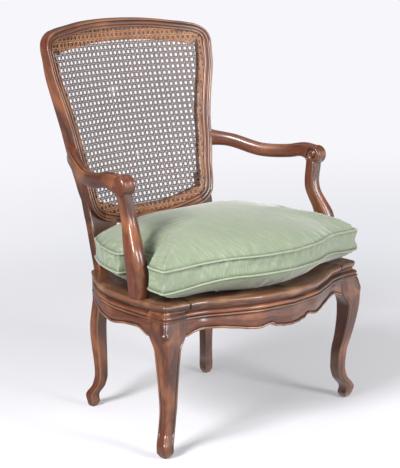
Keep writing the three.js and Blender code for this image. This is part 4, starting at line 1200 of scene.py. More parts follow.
def neck_ring(z):
    """The leaning neck, with a bracket that fills the corner under the back."""
    rise = max(0, z - seat_height)
    depth_here = lerp(-neck_front - neck_back_inset, neck_depth, min(rise / neck_rise, 1))
    bracket = smooth(rise, 50, 112) * (1 - smooth(rise, 116, 128))
    inner = post_inner + post_chamfer * 2 * rise / neck_rise - neck_bracket * float(bracket)
    front = neck_front + back_lean_share * rise
    return clipped([
        (seat_rear_half_width, front + depth_here, z), (seat_rear_half_width, front, z),
        (inner, front, z), (inner, front + depth_here, z),
    ])


def post_rings():
    ear = seat_height - rear_rail_drop
    top_of_leg = ear - rim_thickness
    w = contact_width
    rows = [
        (0, w / 2, w, w, 0), (2.5, w * 0.68, w * 1.25, w * 1.3, 0), (pad_height / 2, 18, 37, 37, 0),
        (pad_height, 21, 38.5, 38.5, 0), (pad_height * 2, 3, 37, 37, 0), (ankle_height, -3, 37, 37, 0),
        (208, 8, 45, 46.8, 0), (top_of_leg, 0, 45, 45, 0),
    ]
    rings = shank(rear_foot, 1, rows, top_of_leg, 60)
    top = rings[-1]
    ear_share = follow([(0, 0), (0.8, 0.5), (1, 1)])
    for t in np.linspace(0, 1, 14)[1:]:
        ring = lerp(top, post_ear_ring(ear), float(ear_share(t)))
        ring[:, 2] = lerp(top_of_leg, ear, t)
        rings.append(ring)
    rings += [post_ear_ring(z) for z in np.linspace(ear, rail_top, 14)[1:]]
    rings += [neck_ring(z) for z in np.linspace(rail_top + 0.2, seat_height + neck_rise, 40)]
    return soften(np.array([dense(ring) for ring in rings]), 3)


lower_post = post_rings()
post_bodies = [swept(lower_post, (1, 0, 0)), swept(stile_rings, (1, 0, 0))]
pair("back_post", post_bodies, polished, crease=50)
print("back posts:", lower_post.shape)

# %% [markdown]
# The arm leaves the stile, dips and swings out over the seat, then rolls over into a volute. Its
# section is an oval with a ridge between two quirks on top. A bevelled curve would give the bend
# but not the ridge, the broad root or the chin under the end, so the arm is a loft as well.

# %% Path of the arm
arm_rise = 261
arm_root_rise = 286
arm_dip = 16
arm_width = 30
arm_height = 35
arm_root_height = 58
arm_root_setback = 18
scroll_diameter = 48
scroll_width = 33
scroll_centre = np.array([seat_half_width - 3, lerp(corner_front, 0, 0.347), seat_height + arm_rise])
arm_root_z = seat_height + arm_root_rise
right_side = outline[:half_points]
falling = np.nonzero(np.diff((right_side[:, 2] > arm_root_z).astype(int)))[0]
arm_root_x = right_side[falling[0], 0] - 3
arm_root = np.array([arm_root_x, back_face(arm_root_x, arm_root_z) + arm_root_setback, arm_root_z])
arm_end = scroll_centre + (0, 0, (scroll_diameter - arm_height) / 2)
arm_path_shares = [(0.38, 0.19, -0.19), (0.71, 0.45, -1.18), (0.95, 0.69, -0.8), (1.02, 0.865, 0)]
arm_points = [arm_root]
for across, along, lift in arm_path_shares:
    arm_points.append((
        lerp(arm_root[0], arm_end[0], across),
        lerp(arm_root[1], arm_end[1], along),
        lerp(arm_root[2], arm_end[2], along) + lift * arm_dip,
    ))
arm_points.append(arm_end)
arm_count = 120
arm_path = through(arm_points, arm_count)
arm_run = float(np.linalg.norm(np.diff(arm_path, axis=0), axis=1).sum())
print("arm path:", round(arm_run), "mm long")

# %% Arms
arm_sides = 64
arm_chin = 11
arm_power = 0.72
arm_quirk_place = 0.46
arm_quirk_depth = 2.3
arm_ridge_height = 0.9
arm_height_shares = [(0, 1), (0.04, 0.5), (0.1, 0.16), (0.2, 0), (1, 0)]
turn = np.linspace(0, 2 * math.pi, arm_sides, endpoint=False)


def super_oval(angle, power):
    """An oval that is squarer than an ellipse where power is below 1."""
    c = np.cos(angle)
    s = np.sin(angle)
    return np.sign(c) * np.abs(c) ** power, np.sign(s) * np.abs(s) ** power


def across_and_up(path):
    """At each point of a path, the level direction across it and the one that is most upright."""
    upright = np.array([0, 0, 1.0])
    run = unit(np.gradient(path, axis=0))
    up = unit(upright - run * (run @ upright)[:, None])
    return np.cross(run, up), up


def arm_rings():
    side, up = across_and_up(arm_path)
    share = np.linspace(0, 1, arm_count)
    height = lerp(arm_height, arm_root_height, follow(arm_height_shares)(share))
    x, z = super_oval(turn, arm_power)
    groove = bump(np.abs(x) - arm_quirk_place, 0.13) * (z > 0)
    crown = bump(x, 0.3) * (z > 0)
    lift = crown * arm_ridge_height - groove * arm_quirk_depth * np.clip(z, 0, 1) ** 0.5
    fade = smooth(share, 0.02, 0.16)
    chin = arm_chin * smooth(share, 0.8, 0.97)
    wide = x[None] * arm_width / 2
    lower_side = np.clip(z, -1, 0)[None]
    high = z[None] * height[:, None] / 2 + lift[None] * fade[:, None] + lower_side * chin[:, None]
    return arm_path[:, None] + side[:, None] * wide[..., None] + up[:, None] * high[..., None]


# %% [markdown]
# At its end the arm rolls over into a volute, with a spiral carved in its inner face and a rounded
# knob outside. A curve could be wound up and set on a drum, but the channel is simpler as a depth,
# which depends on the angle and on how far out a point of the face lies.

# %% Volutes
spiral_turns = 1.6
spiral_depth = 3.6
knuckle = 9
face_reach = 21.5
face_edge = 2.6
scroll_steps = 72
channel_dark = 1.2


def scroll_rings():
    """A drum across the chair, and how deep the channel in its inner face is at each point."""
    angle = np.linspace(0, 2 * math.pi, scroll_steps, endpoint=False)
    radius = scroll_diameter / 2
    half = scroll_width / 2
    rows = [(share * radius, -face_reach, 1) for share in np.linspace(0.02, 0.9, 15)]
    rim_edge = arc(radius - face_edge, -face_reach + face_edge, face_edge, -70, 0, 5)
    rows += [(x, z, 0) for x, z in rim_edge]
    for share in np.linspace(0.1, 0.9, 9):
        ridge = 1.1 * bump(share - 0.35, 0.12) - 1.0 * bump(share - 0.12, 0.1)
        across = lerp(-face_reach + face_edge, half - knuckle, share)
        rows.append((radius - 0.6 + ridge, across, 0))
    rows += [(x, z, 0) for x, z in arc(radius - knuckle, half - knuckle, knuckle, 0, 80, 9)]
    for share in np.linspace(0.6, 0.02, 7):
        rows.append((share * radius, half + 1.2 * (1 - share), 0))
    rings = []
    marks = []
    for r, across, facing in rows:
        share = r / radius
        phase = (1 - share) * spiral_turns * 2 * math.pi
        channel = (0.5 - 0.5 * np.cos(angle * -1 + phase + 0.6)) ** 3
        inside_face = smooth(share, 0.12, 0.3) * (1 - smooth(share, 0.8, 0.92))
        depth = facing * spiral_depth * channel * inside_face
        rings.append(np.stack([
            scroll_centre[0] + across + depth,
            scroll_centre[1] + r * np.cos(angle),
            scroll_centre[2] + r * np.sin(angle),
        ], 1))
        marks.append(depth)
    return np.array(rings), np.array(marks)


scroll_shape, scroll_marks = scroll_rings()
marks = scroll_marks.ravel()
scroll_points, scroll_faces, scroll_grain, scroll_wear = swept(scroll_shape)
# the channel takes the dark tone of the quirks, wax with painted shade, and the face round it is rubbed
# paler
channel_shade_and_rub = (0.35 - marks / spiral_depth * channel_dark) * (np.abs(marks) > 0)
scroll_body = (scroll_points, scroll_faces, scroll_grain, scroll_wear + channel_shade_and_rub)
pair("arm", [swept(arm_rings()), scroll_body], polished, crease=45)
print("arms:", arm_count, "rings, and volutes of", len(scroll_shape), "rings")

# %% [markdown]
# Each arm support rises from the rim in an S. Two flutes run up its front face and die out near
# the foot, so that the light makes two bright lines on it. It could be a bevelled curve with
# grooves cut into it, but a flute is only a small change of the ring's front points, which fades
# in and out along the piece. The head narrows and ends under the arm's chin, beside the volute.

# %% Path of the arm supports
support_foot_y = lerp(corner_front, 0, 0.259)
support_foot_width = 36
support_belly_width = 40
support_foot_x = float(side_edge(support_foot_y)) - support_foot_width / 2
support_base = np.array([support_foot_x, support_foot_y, seat_height])
support_top = scroll_centre + (-13, 8, -scroll_diameter / 4)
support_points = [support_base]
for out, along, up in [(0.17, -0.11, 0.247), (0.25, 0.05, 0.441), (-0.08, 0.73, 0.713)]:
    support_points.append((
        lerp(support_base[0], support_top[0], up) + out * support_belly_width,
        lerp(support_base[1], support_top[1], along),
        lerp(support_base[2], support_top[2], up),
    ))
support_points.append(scroll_centre + (-9, 3, -20))
support_count = 130
support_path = through(support_points, support_count)
print("arm supports: base at", [round(float(v)) for v in support_base], "mm")

# %% Arm supports
head_rise = 8
head_flare = 4
head_shape = [(0.35, 0.96), (0.65, 0.86), (0.88, 0.7), (1, 0.5)]
flute_depth = 2.0
ridge_height = 0.8
support_power = 0.6
support_depths = [(0, 45), (0.25, 55), (0.8, 36), (1, 34)]
support_widths = [(0, support_foot_width), (0.25, support_belly_width), (0.8, 31), (1, 30)]
support_sides = 112
round_support = np.linspace(0, 2 * math.pi, support_sides, endpoint=False)


def support_rings():
    share = np.linspace(0, 1, support_count)
    depth = follow(support_depths)(share)
    width = follow(support_widths)(share)
    x, y = super_oval(round_support, support_power)
    front = (y < 0) * np.clip(-y, 0, 1) ** 0.5
    flute = bump(np.abs(x) - 0.5, 0.26) * front
    ridge = bump(x, 0.3) * front
    fade = smooth(share, 0.12, 0.3) * (1 - smooth(share, 0.8, 0.96))
    flare = head_flare * smooth(share, 0.8, 1)
    wide = x[None] * width[:, None] / 2 + np.clip(x, 0, 1)[None] * flare[:, None]
    carved = flute * flute_depth - ridge * ridge_height
    deep = y[None] * depth[:, None] / 2 + carved[None] * fade[:, None]
    height = np.maximum(support_path[:, 2], seat_height + clearance)
    rings = np.stack([
        support_path[:, 0][:, None] + wide,
        support_path[:, 1][:, None] + deep,
        np.repeat(height[:, None], support_sides, 1),
    ], -1)
    head = []
    for rise, size in head_shape:
        ring = lerp(support_path[-1], rings[-1], size)
        ring[:, 2] = height[-1] + rise * head_rise
        head.append(ring)
    return soften(np.concatenate([rings, np.array(head)]), 2)


pair("arm_support", [swept(support_rings(), (1, 0, 0))], polished, crease=50)
print("arm supports:", support_count, "rings")

# %% [markdown]
# Cane is woven in the six-way pattern: pairs of strands up and across, and two diagonals that tuck
# into the corners of the squares, so that the holes come out eight-sided. A plane with an alpha
# mask could stand for it, but it has no thickness and no shadow between the strands. So each
# strand is a flat ribbon that passes over one crossing and under the next.

# %% Strands of the cane
cane_pitch = 15.0
pair_gap = 2.1
pair_wander = 0.25
pair_rise = 0.35
cane_wave = 0.75
shuffle = random.Random(7)


def strand_lines(low, high, wave):
    """Every strand as (points u, v, lift, width direction) over a rectangle."""
    low = np.floor(np.array(low) / cane_pitch) * cane_pitch
    high = np.ceil(np.array(high) / cane_pitch) * cane_pitch
    lines = []
    for axis in (0, 1):
        other = 1 - axis
        fixed = np.arange(low[axis], high[axis] + 1, cane_pitch)
        moving = np.arange(low[other], high[other] + 1, cane_pitch / 2)
        for place in fixed:
            for side in (-1, 1):
                parity = np.where(np.arange(len(moving)) % 2 == 0, 1, 0)
                lift = wave * pair_rise * parity * side * (1 if axis == 0 else -1)
                wander = shuffle.uniform(-pair_wander, pair_wander)
                at = np.full(len(moving), place + side * pair_gap + wander)
                u, v = (at, moving) if axis == 0 else (moving, at)
                lines.append((u, v, lift, (1.0, 0.0) if axis == 0 else (0.0, 1.0)))
    span = high - low
    step = cane_pitch / 2
    for way in (1, -1):
        count = int((span[0] + span[1]) / cane_pitch) + 2
        for k in range(-int(span[1] / cane_pitch) - 1, count):
            steps = np.arange(0, span[1] + 1, step)
            v = low[1] + steps
            start = low[0] + (k + 0.5) * cane_pitch
            u = start + steps if way == 1 else start + span[1] - steps - (span[1] % cane_pitch)
            lift = wave * np.where(np.arange(len(v)) % 2 == 0, 1, -1) * way
            lines.append((u, v, lift, (math.sqrt(0.5), -way * math.sqrt(0.5))))
    return lines


print("cane: squares of", cane_pitch, "mm, pairs", 2 * pair_gap, "mm apart")

# %% [markdown]
# The strands run right across a rectangle and have to end at the wood. A boolean on hundreds of
# ribbons would be slow and could fail. It is enough to keep the points that lie inside the
# opening's polygon. Old cane is also torn here and there: near such a place a diagonal is left out.

# %% Ribbons within an opening
strand_width = 1.7
strand_thick = 1.1
strand_section = ((-1, -0.5), (1, -0.5), (0.7, 0.5), (-0.7, 0.5))
shades = 40


def inside(polygon, u, v):
    """Which of the points lie inside the polygon."""
    found = np.zeros(len(u), bool)
    x0, y0 = polygon.T
    x1, y1 = np.roll(polygon, -1, 0).T
    for ax, ay, bx, by in zip(x0, y0, x1, y1):
        crosses = (ay > v) != (by > v)
        if not crosses.any():
            continue
        with np.errstate(divide="ignore", invalid="ignore"):
            at = (bx - ax) * (v - ay) / (by - ay) + ax
        found ^= crosses & (u < at)
    return found


def weave(lines, polygon, surface, opening, gaps=()):
    """Ribbons along the strands where they lie inside the polygon, marked where wood is behind them."""
    bodies = []
    for u, v, lift, wide in lines:
        keep = inside(polygon, u, v)
        for gu, gv, reach in gaps:
            if wide[0] * wide[1] != 0:
                keep &= np.hypot(u - gu, v - gv) > reach
        edges = np.flatnonzero(np.diff(np.concatenate([[0], keep.astype(int), [0]])))
        for start, end in zip(edges[::2], edges[1::2]):
            if end - start < 3:
                continue
            run = slice(start, end)
            corners = []
            for a, b in strand_section:
                du = u[run] + a * wide[0] * strand_width / 2
                dv = v[run] + a * wide[1] * strand_width / 2
                corners.append(surface(du, dv, lift[run] + b * strand_thick))
            rings = np.stack(corners, 1)
            points, faces = loft(rings)
            grain = np.zeros((len(points), 3))
            grain[:, 0] = np.repeat(np.arange(len(rings)) * cane_pitch, 4)
            grain[:, 1] = shuffle.random() * shades
            over_wood = np.repeat(~inside(opening, u[run], v[run]), 4)
            bodies.append((points, faces, grain, over_wood.astype(float)))
    return bodies


print("ribbons:", strand_width, "mm wide and", strand_thick, "mm thick")

# %% [markdown]
# Old cane is brown and dull, with each strand a slightly different shade. A material for each
# strand would make hundreds of them. Instead the strand's own number in the grain attribute picks
# its shade. The second attribute marks where wood lies behind a strand, and there the strand gets a
# paler tone, a painted light, while strands over the opening keep a dark tone, as if seen against
# the light.


# %% Cane finish
def cane_finish():
    f = new_finish("woven_cane")
    grain = f.attribute("grain", "Vector")
    tint = f.noise(f.mapped(grain, (3, 900, 1)), 1.0, 2.0, 0.6)
    stain = f.noise(f.wire("ShaderNodeTexCoord", "Object"), 9.0, 3.0, 0.6)
    over_wood = f.attribute("wear_and_painted_light", "Fac")
    cane = f.mix(tint.step_up(0.3, 0.7), tone(54, 36, 29), tone(102, 73, 57))
    cane = f.mix(stain.step_up(0.45, 0.7) * 0.5, cane, tone(60, 42, 36))
    # painted light: strands over the wood get this paler tone, and those over the opening keep the dark
    # one, as if seen against the light
    lit_cane = f.mix(tint.step_up(0.3, 0.7), tone(140, 92, 66), tone(196, 150, 114))
    cane = f.mix(over_wood, cane, lit_cane)
    return f.surface(Base_Color=cane, Roughness=0.5 + tint * 0.2)


cane = cane_finish()
print("cane finish:", cane.name)

# %% [markdown]
# The back's cane lies on the flat wood inside the moulding and follows the frame's hollow curve. It
# could be woven flat and bent by a modifier, but here every point asks the back where it belongs.

# %% Back cane
cane_surface_gap = 1.9
polygon_step = 6
broken_cane = [(-52, 800, 9), (-6, 628, 7)]
inner_edge = outline + outline_inward * (moulding_width - 1.5)
opening_edge = outline + outline_inward * (moulding_width + cane_border(outline_inward))[:, None]
back_polygon = inner_edge[::polygon_step][:, [0, 2]]
back_opening = opening_edge[::polygon_step][:, [0, 2]]


def on_cane(u, v, lift):
    return np.stack([u, back_face(u, v) - cane_surface_gap - lift, v], 1)


back_lines = strand_lines(back_polygon.min(0), back_polygon.max(0), cane_wave)
back_strands = weave(back_lines, back_polygon, on_cane, back_opening, broken_cane)
make("dressed_cane_back", back_strands, cane, nodes=["cane_back"], slot="cane", crease=60)
print("back cane:", len(back_strands), "strands")

# %% [markdown]
# The seat's cane is the same weave laid flat. Under the cushion little of it is seen, but it shows
# when the cushion is lifted, and from below, so it is woven in full. Its edge laps over the rim.

# %% Seat cane
cane_lap = 11
seat_cane_depth = 1.2
seat_lift_share = 0.8
inner_steps = np.linalg.norm(np.diff(inner, axis=0), axis=1)
inner_half = inner[np.concatenate([[True], inner_steps > 0.5])][:, :2]
seat_centre = np.array([0, (corner_front - seat_bow) / 2])
lap = inner_half + unit(inner_half - seat_centre) * cane_lap
lap = lap[lap[:, 1] < -rim_width + cane_lap]
seat_polygon = np.concatenate([lap, lap[::-1] * (-1, 1)])


def on_seat(u, v, lift):
    return np.stack([u, v, np.full(len(u), seat_height - seat_cane_depth) + lift * seat_lift_share], 1)


seat_lines = strand_lines(seat_polygon.min(0), seat_polygon.max(0), cane_wave)
seat_opening = seat_polygon * (1 - cane_lap / seat_half_width, 1)
seat_strands = weave(seat_lines, seat_polygon, on_seat, seat_opening)
make("dressed_cane_seat", seat_strands, cane, nodes=["cane_seat"], slot="cane", crease=60)
print("seat cane:", len(seat_strands), "strands")

# %% [markdown]
# The joints of such a chair are held by wooden pegs, driven through rail and tenon, whose heads show
# as small dark discs. A cylinder would do for each, but the last strokes of the plane leave a
# head very slightly domed, and its end grain is darker than the wood round it.

# %% Pegs
peg_radius = 3.4
peg_sides = 20
peg_profile = [(-7, 1), (0.0, 1), (0.15, 0.9), (0.25, 0.5), (0.3, 0.15 / peg_radius)]


def peg_dome(node):
    """A round peg head on the outer face where the node ends."""
    low, high = (np.array(v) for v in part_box(node))
    axis = int(np.argmax(high - low))
    middle = (low + high) / 2
    on_back_face = "back_rail" in node or "crest" in node or "bottom" in node
    if axis == 1:
        facing = 1 if on_back_face else -1
    else:
        facing = 1 if middle[0] > 0 else -1
    front = high if facing > 0 else low
    across, up = [k for k in range(3) if k != axis]
    rings = []
    for out, share in peg_profile:
        ring = []
        for a in np.linspace(0, 2 * math.pi, peg_sides, endpoint=False):
            p = middle / MM
            p[axis] = front[axis] / MM + facing * out
            p[across] += peg_radius * share * math.cos(a)
            p[up] += peg_radius * share * math.sin(a)
            ring.append(p - (0, rear_edge / MM, 0))
        rings.append(ring)
    return swept(np.array(rings), (0, 0, 1) if axis != 2 else (1, 0, 0))


peg_names = sorted(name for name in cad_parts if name.startswith("peg_"))
for name in peg_names:
    make(f"dressed_{name}", [peg_dome(name)], peg_wood, nodes=[name], slot="peg_wood", crease=60)
print("pegs:", len(peg_names))

# %% [markdown]
# The cushion's cover is a faded sage silk, ribbed, with thick slubs in the thread that catch the
# light in short streaks. A weave drawn thread by thread would be too fine to see at this size. So
# the ribs are one wave, the slubs and streaks are noise stretched one way, and both also make the
# bumps. The folds beside the seams get painted shade, by an attribute.

# %% Silk
slub_scale = (420, 16, 60)
streaks_scale = (150, 10, 24)
pale_slub = tone(192, 204, 176)
seam_shade_tone = tone(78, 84, 62)


def silk_finish(name, shade, light, rib_scale):
    f = new_finish(name)
    crease = f.attribute("seam", "Fac")
    place = f.wire("ShaderNodeTexCoord", "Object")
    bands = {"wave_type": "BANDS", "bands_direction": "X"}
    wave = {"Vector": place, "Scale": rib_scale, "Distortion": 0.6, "Detail": 1.0, "Detail Scale": 2.0}
    rib = f.wire("ShaderNodeTexWave", "Fac", bands, wave)
    cloud = f.noise(place, 7.0, 3.0, 0.55)
    slub = f.noise(f.mapped(place, slub_scale), 1.0, 3.0)
    streak = f.noise(f.mapped(place, streaks_scale), 1.0, 2.0)
    silk = f.mix(cloud * 0.6 + 0.2, shade, light)
    silk = f.mix(rib * 0.5, silk, light)
    silk = f.mix(slub.step_up(0.48, 0.7) * 0.28, silk, pale_slub)
    silk = f.mix(streak.step_up(0.5, 0.72) * 0.25, silk, shade)
    # painted shade in the folds beside the piping, read from the seam attribute
    silk = f.mix(crease.clipped() * 0.6, silk, seam_shade_tone)
    return f.surface(
        Base_Color=silk,
        Roughness=0.3 + cloud * 0.12,
        Sheen_Weight=0.6,
        Sheen_Roughness=0.4,
        Normal=f.bumps(slub + streak * 0.8, 0.0009, 0.6),
    )


silk = silk_finish("sage_silk", tone(117, 130, 105), tone(147, 159, 133), 120.0)
piping_silk = silk_finish("sage_piping_silk", tone(134, 146, 120), tone(160, 171, 145), 300.0)
print("silks:", silk.name, piping_silk.name)

# %% [markdown]
# The cushion is cut to the seat's plan, a little past its edge, with two notches for the arm
# supports. An upholsterer makes a paper pattern of the seat. Here the pattern is the seam line, and
# it is taken from the same edges as the rim, so that the cushion fits by itself.

# %% Cushion plan
cushion_bottom_seam = seat_height + 29
cushion_top_seam = cushion_bottom_seam + 52
cushion_bottom_lift = 20
cushion_top_lift = 13
cushion_ear = np.array([[seat_half_width + 4, corner_front]])
cushion_rear = post_front - 9
cushion_corner = 12
support_waist = np.array(support_points[3])
notch_slack = 7
notch_front = support_points[1][1] - 27.5 - notch_slack
notch_rear = support_waist[1] + 18 + notch_slack
notch_inner = support_base[0] - support_belly_width / 2 - 28


def cushion_line():
    """The seam in plan, from the middle of the front round the right-hand side to the rear."""
    x = np.linspace(0, corner_half_width - cushion_corner, 9)
    front = np.stack([x, front_edge(x) + 2], 1)

    def outside(y):
        share = (y - corner_front) / (cushion_rear - corner_front)
        return side_edge(y) - lerp(1, 9, share)

    ear_y = np.array([
        corner_front + cushion_corner, (corner_front + notch_front) / 2, notch_front - notch_slack,
    ])
    notch_y = np.array([
        notch_front, notch_front + notch_slack, (notch_front + notch_rear) / 2,
        notch_rear - notch_slack, notch_rear,
    ])
    side_y = np.linspace(notch_rear + notch_slack, cushion_rear - cushion_corner, 6)
    rear_x = np.linspace(seat_rear_half_width - cushion_corner, 0, 5)
    parts = [
        front,
        cushion_ear,
        np.stack([outside(ear_y), ear_y], 1),
        np.stack([np.full(5, notch_inner), notch_y], 1),
        np.stack([outside(side_y), side_y], 1),
        np.stack([rear_x, np.full(5, cushion_rear)], 1),
    ]
    half = np.concatenate(parts)
    return np.concatenate([half, half[1:-1][::-1] * (-1, 1)])


def seam_height(x, y, z):
    """The seams lie lowest at the front corners and rise towards the middle."""
    away = np.hypot(corner_half_width - np.abs(x), y - corner_front)
    lift = cushion_top_lift if z > cushion_bottom_seam else cushion_bottom_lift
    return z + lift * smooth(away, 0, 200)


plan = cushion_line()


def seam(z, spread=0.0, count=420):
    """A seam as a closed line of points, slightly rounded where the plan turns."""
    loop = np.concatenate([plan, plan[:1]])
    run = np.concatenate([[0], np.cumsum(np.linalg.norm(np.diff(loop, axis=0), axis=1))])
    places = np.linspace(0, run[-1], count, endpoint=False)
    line = np.stack([np.interp(places, run, loop[:, k]) for k in (0, 1)], 1)
    for _ in range(6):
        line = line * 0.5 + (np.roll(line, 1, 0) + np.roll(line, -1, 0)) * 0.25
    tangent = unit(np.roll(line, -1, 0) - np.roll(line, 1, 0))
    line = line + np.stack([tangent[:, 1], -tangent[:, 0]], 1) * spread
    return np.stack([line[:, 0], line[:, 1], seam_height(line[:, 0], line[:, 1], z)], 1)


print("cushion plan:", len(plan), "points,", round(2 * float(plan[:, 0].max())), "mm wide")

# %% [markdown]
# The cushion is a silk cover over feathers: two crowned panels with a boxing between them. It could
# be sewn in the cloth simulation from flat panels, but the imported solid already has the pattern's
# shape. A copy of it is remeshed finely, so that there are enough points for soft curves.

# %% Cushion body
voxel = 5.0 * MM
merge_distance = 0.02 * MM


def copy_of_node(name):
    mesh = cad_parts[name].data.copy()
    face_outward(mesh, merge_distance)
    return add_object(f"dressed_{name}", mesh)


def apply_modifiers(piece):
    graph = bpy.context.evaluated_depsgraph_get()
    done = bpy.data.meshes.new_from_object(piece.evaluated_get(graph))
    piece.modifiers.clear()
    piece.data = done


def coordinates(mesh):
    co = np.zeros(len(mesh.vertices) * 3)
    mesh.vertices.foreach_get("co", co)
    return co.reshape(-1, 3)


cushion = copy_of_node("cushion")
remesh = cushion.modifiers.new("remesh", "REMESH")
remesh.mode = "VOXEL"
remesh.voxel_size = voxel
apply_modifiers(cushion)
rest = coordinates(cushion.data)
top_line = to_frame(seam(cushion_top_seam))
bottom_line = to_frame(seam(cushion_bottom_seam))


def nearest(points, line, batch=60):
    """Distance of every point from a line of points."""
    best = np.full(len(points), np.inf)
    for start in range(0, len(line), batch):
        part = line[start:start + batch]
        best = np.minimum(best, np.linalg.norm(points[:, None] - part[None], axis=2).min(1))
    return best


to_seam = np.minimum(nearest(rest, top_line), nearest(rest, bottom_line))
print("cushion:", len(rest), "points after the remesh")

# %% [markdown]
# Feathers press outwards everywhere, and only the seams hold the cover in. Moving the panels by a
# formula would give a smooth pillow. The cloth simulation, with pressure inside and the seams
# pinned, gives the uneven swelling of a real one. How far a point may move is capped.

# %% Swelling the cushion
cloth_pressure = 4.0
cloth_stiffness = 12
last_frame = 20
move_cap = 12.0 * MM
seam_hold = 8 * MM


def swell(piece):
    held = piece.vertex_groups.new(name="seams")
    for k in np.flatnonzero(to_seam < seam_hold):
        held.add([int(k)], 1.0, "REPLACE")
    cloth = piece.modifiers.new("cloth", "CLOTH")
    cloth.settings.use_pressure = True
    cloth.settings.uniform_pressure_force = cloth_pressure
    cloth.settings.effector_weights.gravity = 0
    cloth.settings.vertex_group_mass = "seams"
    cloth.settings.tension_stiffness = cloth_stiffness
    cloth.settings.compression_stiffness = cloth_stiffness
    cloth.settings.quality = 5
    cloth.point_cache.frame_start = 1
    cloth.point_cache.frame_end = last_frame
    for number in range(1, last_frame + 1):
        bpy.context.scene.frame_set(number)
    apply_modifiers(piece)
    bpy.context.scene.frame_set(1)
    moved = coordinates(piece.data) - rest
    far = np.linalg.norm(moved, axis=1, keepdims=True)
    moved *= np.minimum(1, move_cap / np.maximum(far, tiny))
    print("swelling: largest move", round(float(far.max()) / MM, 1), "mm before the cap")
    return rest + moved


shape = swell(cushion)
print("cushion shape:", round(float(np.ptp(shape[:, 2])) / MM), "mm thick")

# %% [markdown]
# Where silk is gathered into a seam it puckers. A finer simulation could find such folds by itself,
# but slowly. Three sine waves of different lengths round the cushion give them, strongest just
# beside the seam. The cover also may not sink into the cane, so it is kept above the seat.

# %% Puckers and smoothing
pucker_waves = [(71, 0, 0.6), (43, 1.3, 0.7), (17, 0.4, 0.4)]
pucker_height = 2.2 * MM
pucker_place = 14 * MM
pucker_width = 15 * MM
seam_shadow_place = 3.5
seam_shadow_width = 3.2
cushion_middle = np.array([0, rear_edge - 240 * MM, (seat_height + 60) * MM])
cushion_floor = (seat_height + 0.4) * MM


def settle(co):
    """Puckers the cover beside its seams, and keeps it above the seat."""
    co = co.copy()
    around = np.arctan2(co[:, 1] - rear_edge + 200 * MM, co[:, 0])
    wave = sum(np.sin(around * turns + start) * size for turns, start, size in pucker_waves)
    fold = bump(nearest(co, top_line) - pucker_place, pucker_width) * wave * pucker_height
    co += unit((co - cushion_middle) * (1, 1, 0.2)) * fold[:, None]
    co[:, 2] = np.maximum(co[:, 2], cushion_floor)
    return co


cushion.data.vertices.foreach_set("co", settle(shape).ravel())
cushion.data.update()
seam_shadow = bump(to_seam / MM - seam_shadow_place, seam_shadow_width)
add_attribute(cushion.data, "seam", "FLOAT", "value", seam_shadow)
subdivide = cushion.modifiers.new("fine", "SUBSURF")
subdivide.levels = 1
subdivide.render_levels = 1
apply_modifiers(cushion)
cushion.data.shade_smooth()
cushion.data.materials.clear()
cushion.data.materials.append(silk)
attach(cushion, "cushion")
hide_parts("cushion")
print("cushion cover:", len(cushion.data.polygons), "faces")

# %% [markdown]
# A piping is a thin cord in a strip of the same silk, sewn into each seam. A curve with a round
# bevel would make it, but as a closed loft along the seam line it gets its grain from the same
# helper as every other piece.

# %% Pipings
piping_radius = 2.3
piping_offset = 1.6
piping_sides = 12
seams = {"cushion_piping_top": cushion_top_seam, "cushion_piping_bottom": cushion_bottom_seam}


def piping_rings(z):
    line = seam(z, piping_offset)
    tangent = unit(np.roll(line, -1, 0) - np.roll(line, 1, 0))
    out = np.stack([tangent[:, 1], -tangent[:, 0], np.zeros(len(line))], 1)
    up = np.cross(tangent, out) * -1
    rings = []
    for a in np.linspace(0, 2 * math.pi, piping_sides, endpoint=False):
        rings.append(line + out * piping_radius * math.cos(a) + up * piping_radius * math.sin(a))
    return np.stack(rings, 1)


for node, z in seams.items():
    points, faces = loft(piping_rings(z), looped=True)
    cord = (points, faces, points, np.zeros(len(points)))
    piping = make(f"dressed_{node}", [cord], piping_silk, "cushion", [node], "piping_silk", 60)
print("pipings:", len(seams), "cords", 2 * piping_radius, "mm thick")

# %% [markdown]
# The chair stands on a pale floor. More light on a grey floor would whiten it, and the chair with
# it. So the floor glows only to the camera, where it lies away from the chair, nearly white with a
# painted shade behind the chair, and to reflections, which see a painted reflection, white on one
# side and grey on the other. Near the chair it is a matt floor that keeps the shadow.

# %% Floor
floor_size = 30.0


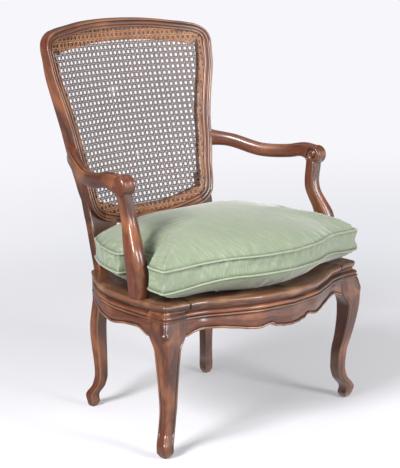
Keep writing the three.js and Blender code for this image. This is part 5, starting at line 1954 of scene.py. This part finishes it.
def floor_finish():
    f = Finish(bpy.data.materials.new("pale_floor"))
    path = f.node("ShaderNodeLightPath")
    looked_at = Wire(f, path.outputs["Is Camera Ray"])
    mirrored = Wire(f, path.outputs["Is Glossy Ray"]) + Wire(f, path.outputs["Is Transmission Ray"])
    place = f.wire("ShaderNodeTexCoord", "Object")
    away = f.measure("LENGTH", place).step_up(0.5, 2.2)
    # painted shade: the backdrop turns greyer round a place behind the chair
    behind = f.measure("DISTANCE", place, (1.5, 0.5, 0)).step_up(0.4, 3.2)
    bright_side = f.measure("DOT_PRODUCT", place, (1, -1, 0)).step_up(-1.0, 1.2)
    shaded_backdrop_tone = f.mix(behind, tone(231, 232, 237), tone(247, 246, 251))
    # painted reflection: the floor in reflections is white towards +x and -y, and grey the other way
    painted_reflection_tone = f.mix(bright_side, tone(150, 148, 152), tone(250, 250, 252))
    matt = f.wire("ShaderNodeBsdfDiffuse", 0, None, {"Color": (*tone(211, 210, 214), 1)})
    glow = f.glow((*tone(246, 246, 250), 1), 0.25)
    near = f.wire("ShaderNodeAddShader", 0, None, {0: matt, 1: glow})
    seen = f.either(away, near, f.glow(shaded_backdrop_tone, 1.0))
    surface = f.either(mirrored.clipped(), f.either(looked_at, matt, seen), f.glow(painted_reflection_tone, 1.0))
    f.node("ShaderNodeOutputMaterial", None, {"Surface": surface})
    return f.owner


floor_mesh = bpy.data.meshes.new("floor")
corners = [(-1, -1), (1, -1), (1, 1), (-1, 1)]
floor_corners = [(x * floor_size, y * floor_size, -0.0005) for x, y in corners]
floor_mesh.from_pydata(floor_corners, [], [(0, 1, 2, 3)])
floor_mesh.materials.append(floor_finish())
floor = add_object("floor", floor_mesh)
print("floor:", 2 * floor_size, "m wide")

# %% [markdown]
# The light is plain and soft, from rectangular lamps. The strongest stands on the left, a weaker one
# in front, and a broad panel and an overhead lamp keep the shadows open. An image of a real studio
# could light the chair too, but four lamps are easier to read and to change.


# %% Lamps
def lamp(name, place, size, power):
    data = bpy.data.lights.new(name, "AREA")
    data.shape = "RECTANGLE"
    data.size, data.size_y = size
    data.energy = power
    light = add_object(name, data)
    light.location = place
    turn_to(light, chair_middle - Vector(place))


chair_middle = Vector((0, 0, 0.45))
lamp("left_softbox", (-3.0, -0.6, 2.4), (1.0, 1.3), 172)
lamp("right_softbox", (0.5, -3.3, 1.8), (1.0, 1.5), 86)
lamp("broad_panel", (2.4, -2.6, 1.1), (2.2, 2.2), 18)
lamp("overhead", (0.3, 0.5, 3.0), (2.4, 2.4), 14)

# %% [markdown]
# The world is what the camera sees past the floor, and a little light from everywhere. One white
# world would do both, but then it would light the chair far too much. So the camera sees it white,
# and all else gets only a weak fill.

# %% World
fill_strength = 0.12
world = bpy.data.worlds.new("studio")
bpy.context.scene.world = world
sky = Finish(world)
camera_ray = sky.wire("ShaderNodeLightPath", "Is Camera Ray")
fill = {"Color": (1, 1, 1, 1), "Strength": fill_strength}
shown = {"Color": (*tone(246, 246, 250), 1), "Strength": 1.0}
backgrounds = [sky.wire("ShaderNodeBackground", 0, None, values) for values in (fill, shown)]
sky.node("ShaderNodeOutputWorld", None, {"Surface": sky.either(camera_ray, *backgrounds)})
bpy.context.scene.view_settings.view_transform = "Standard"
print("world: white to the camera, fill", fill_strength)
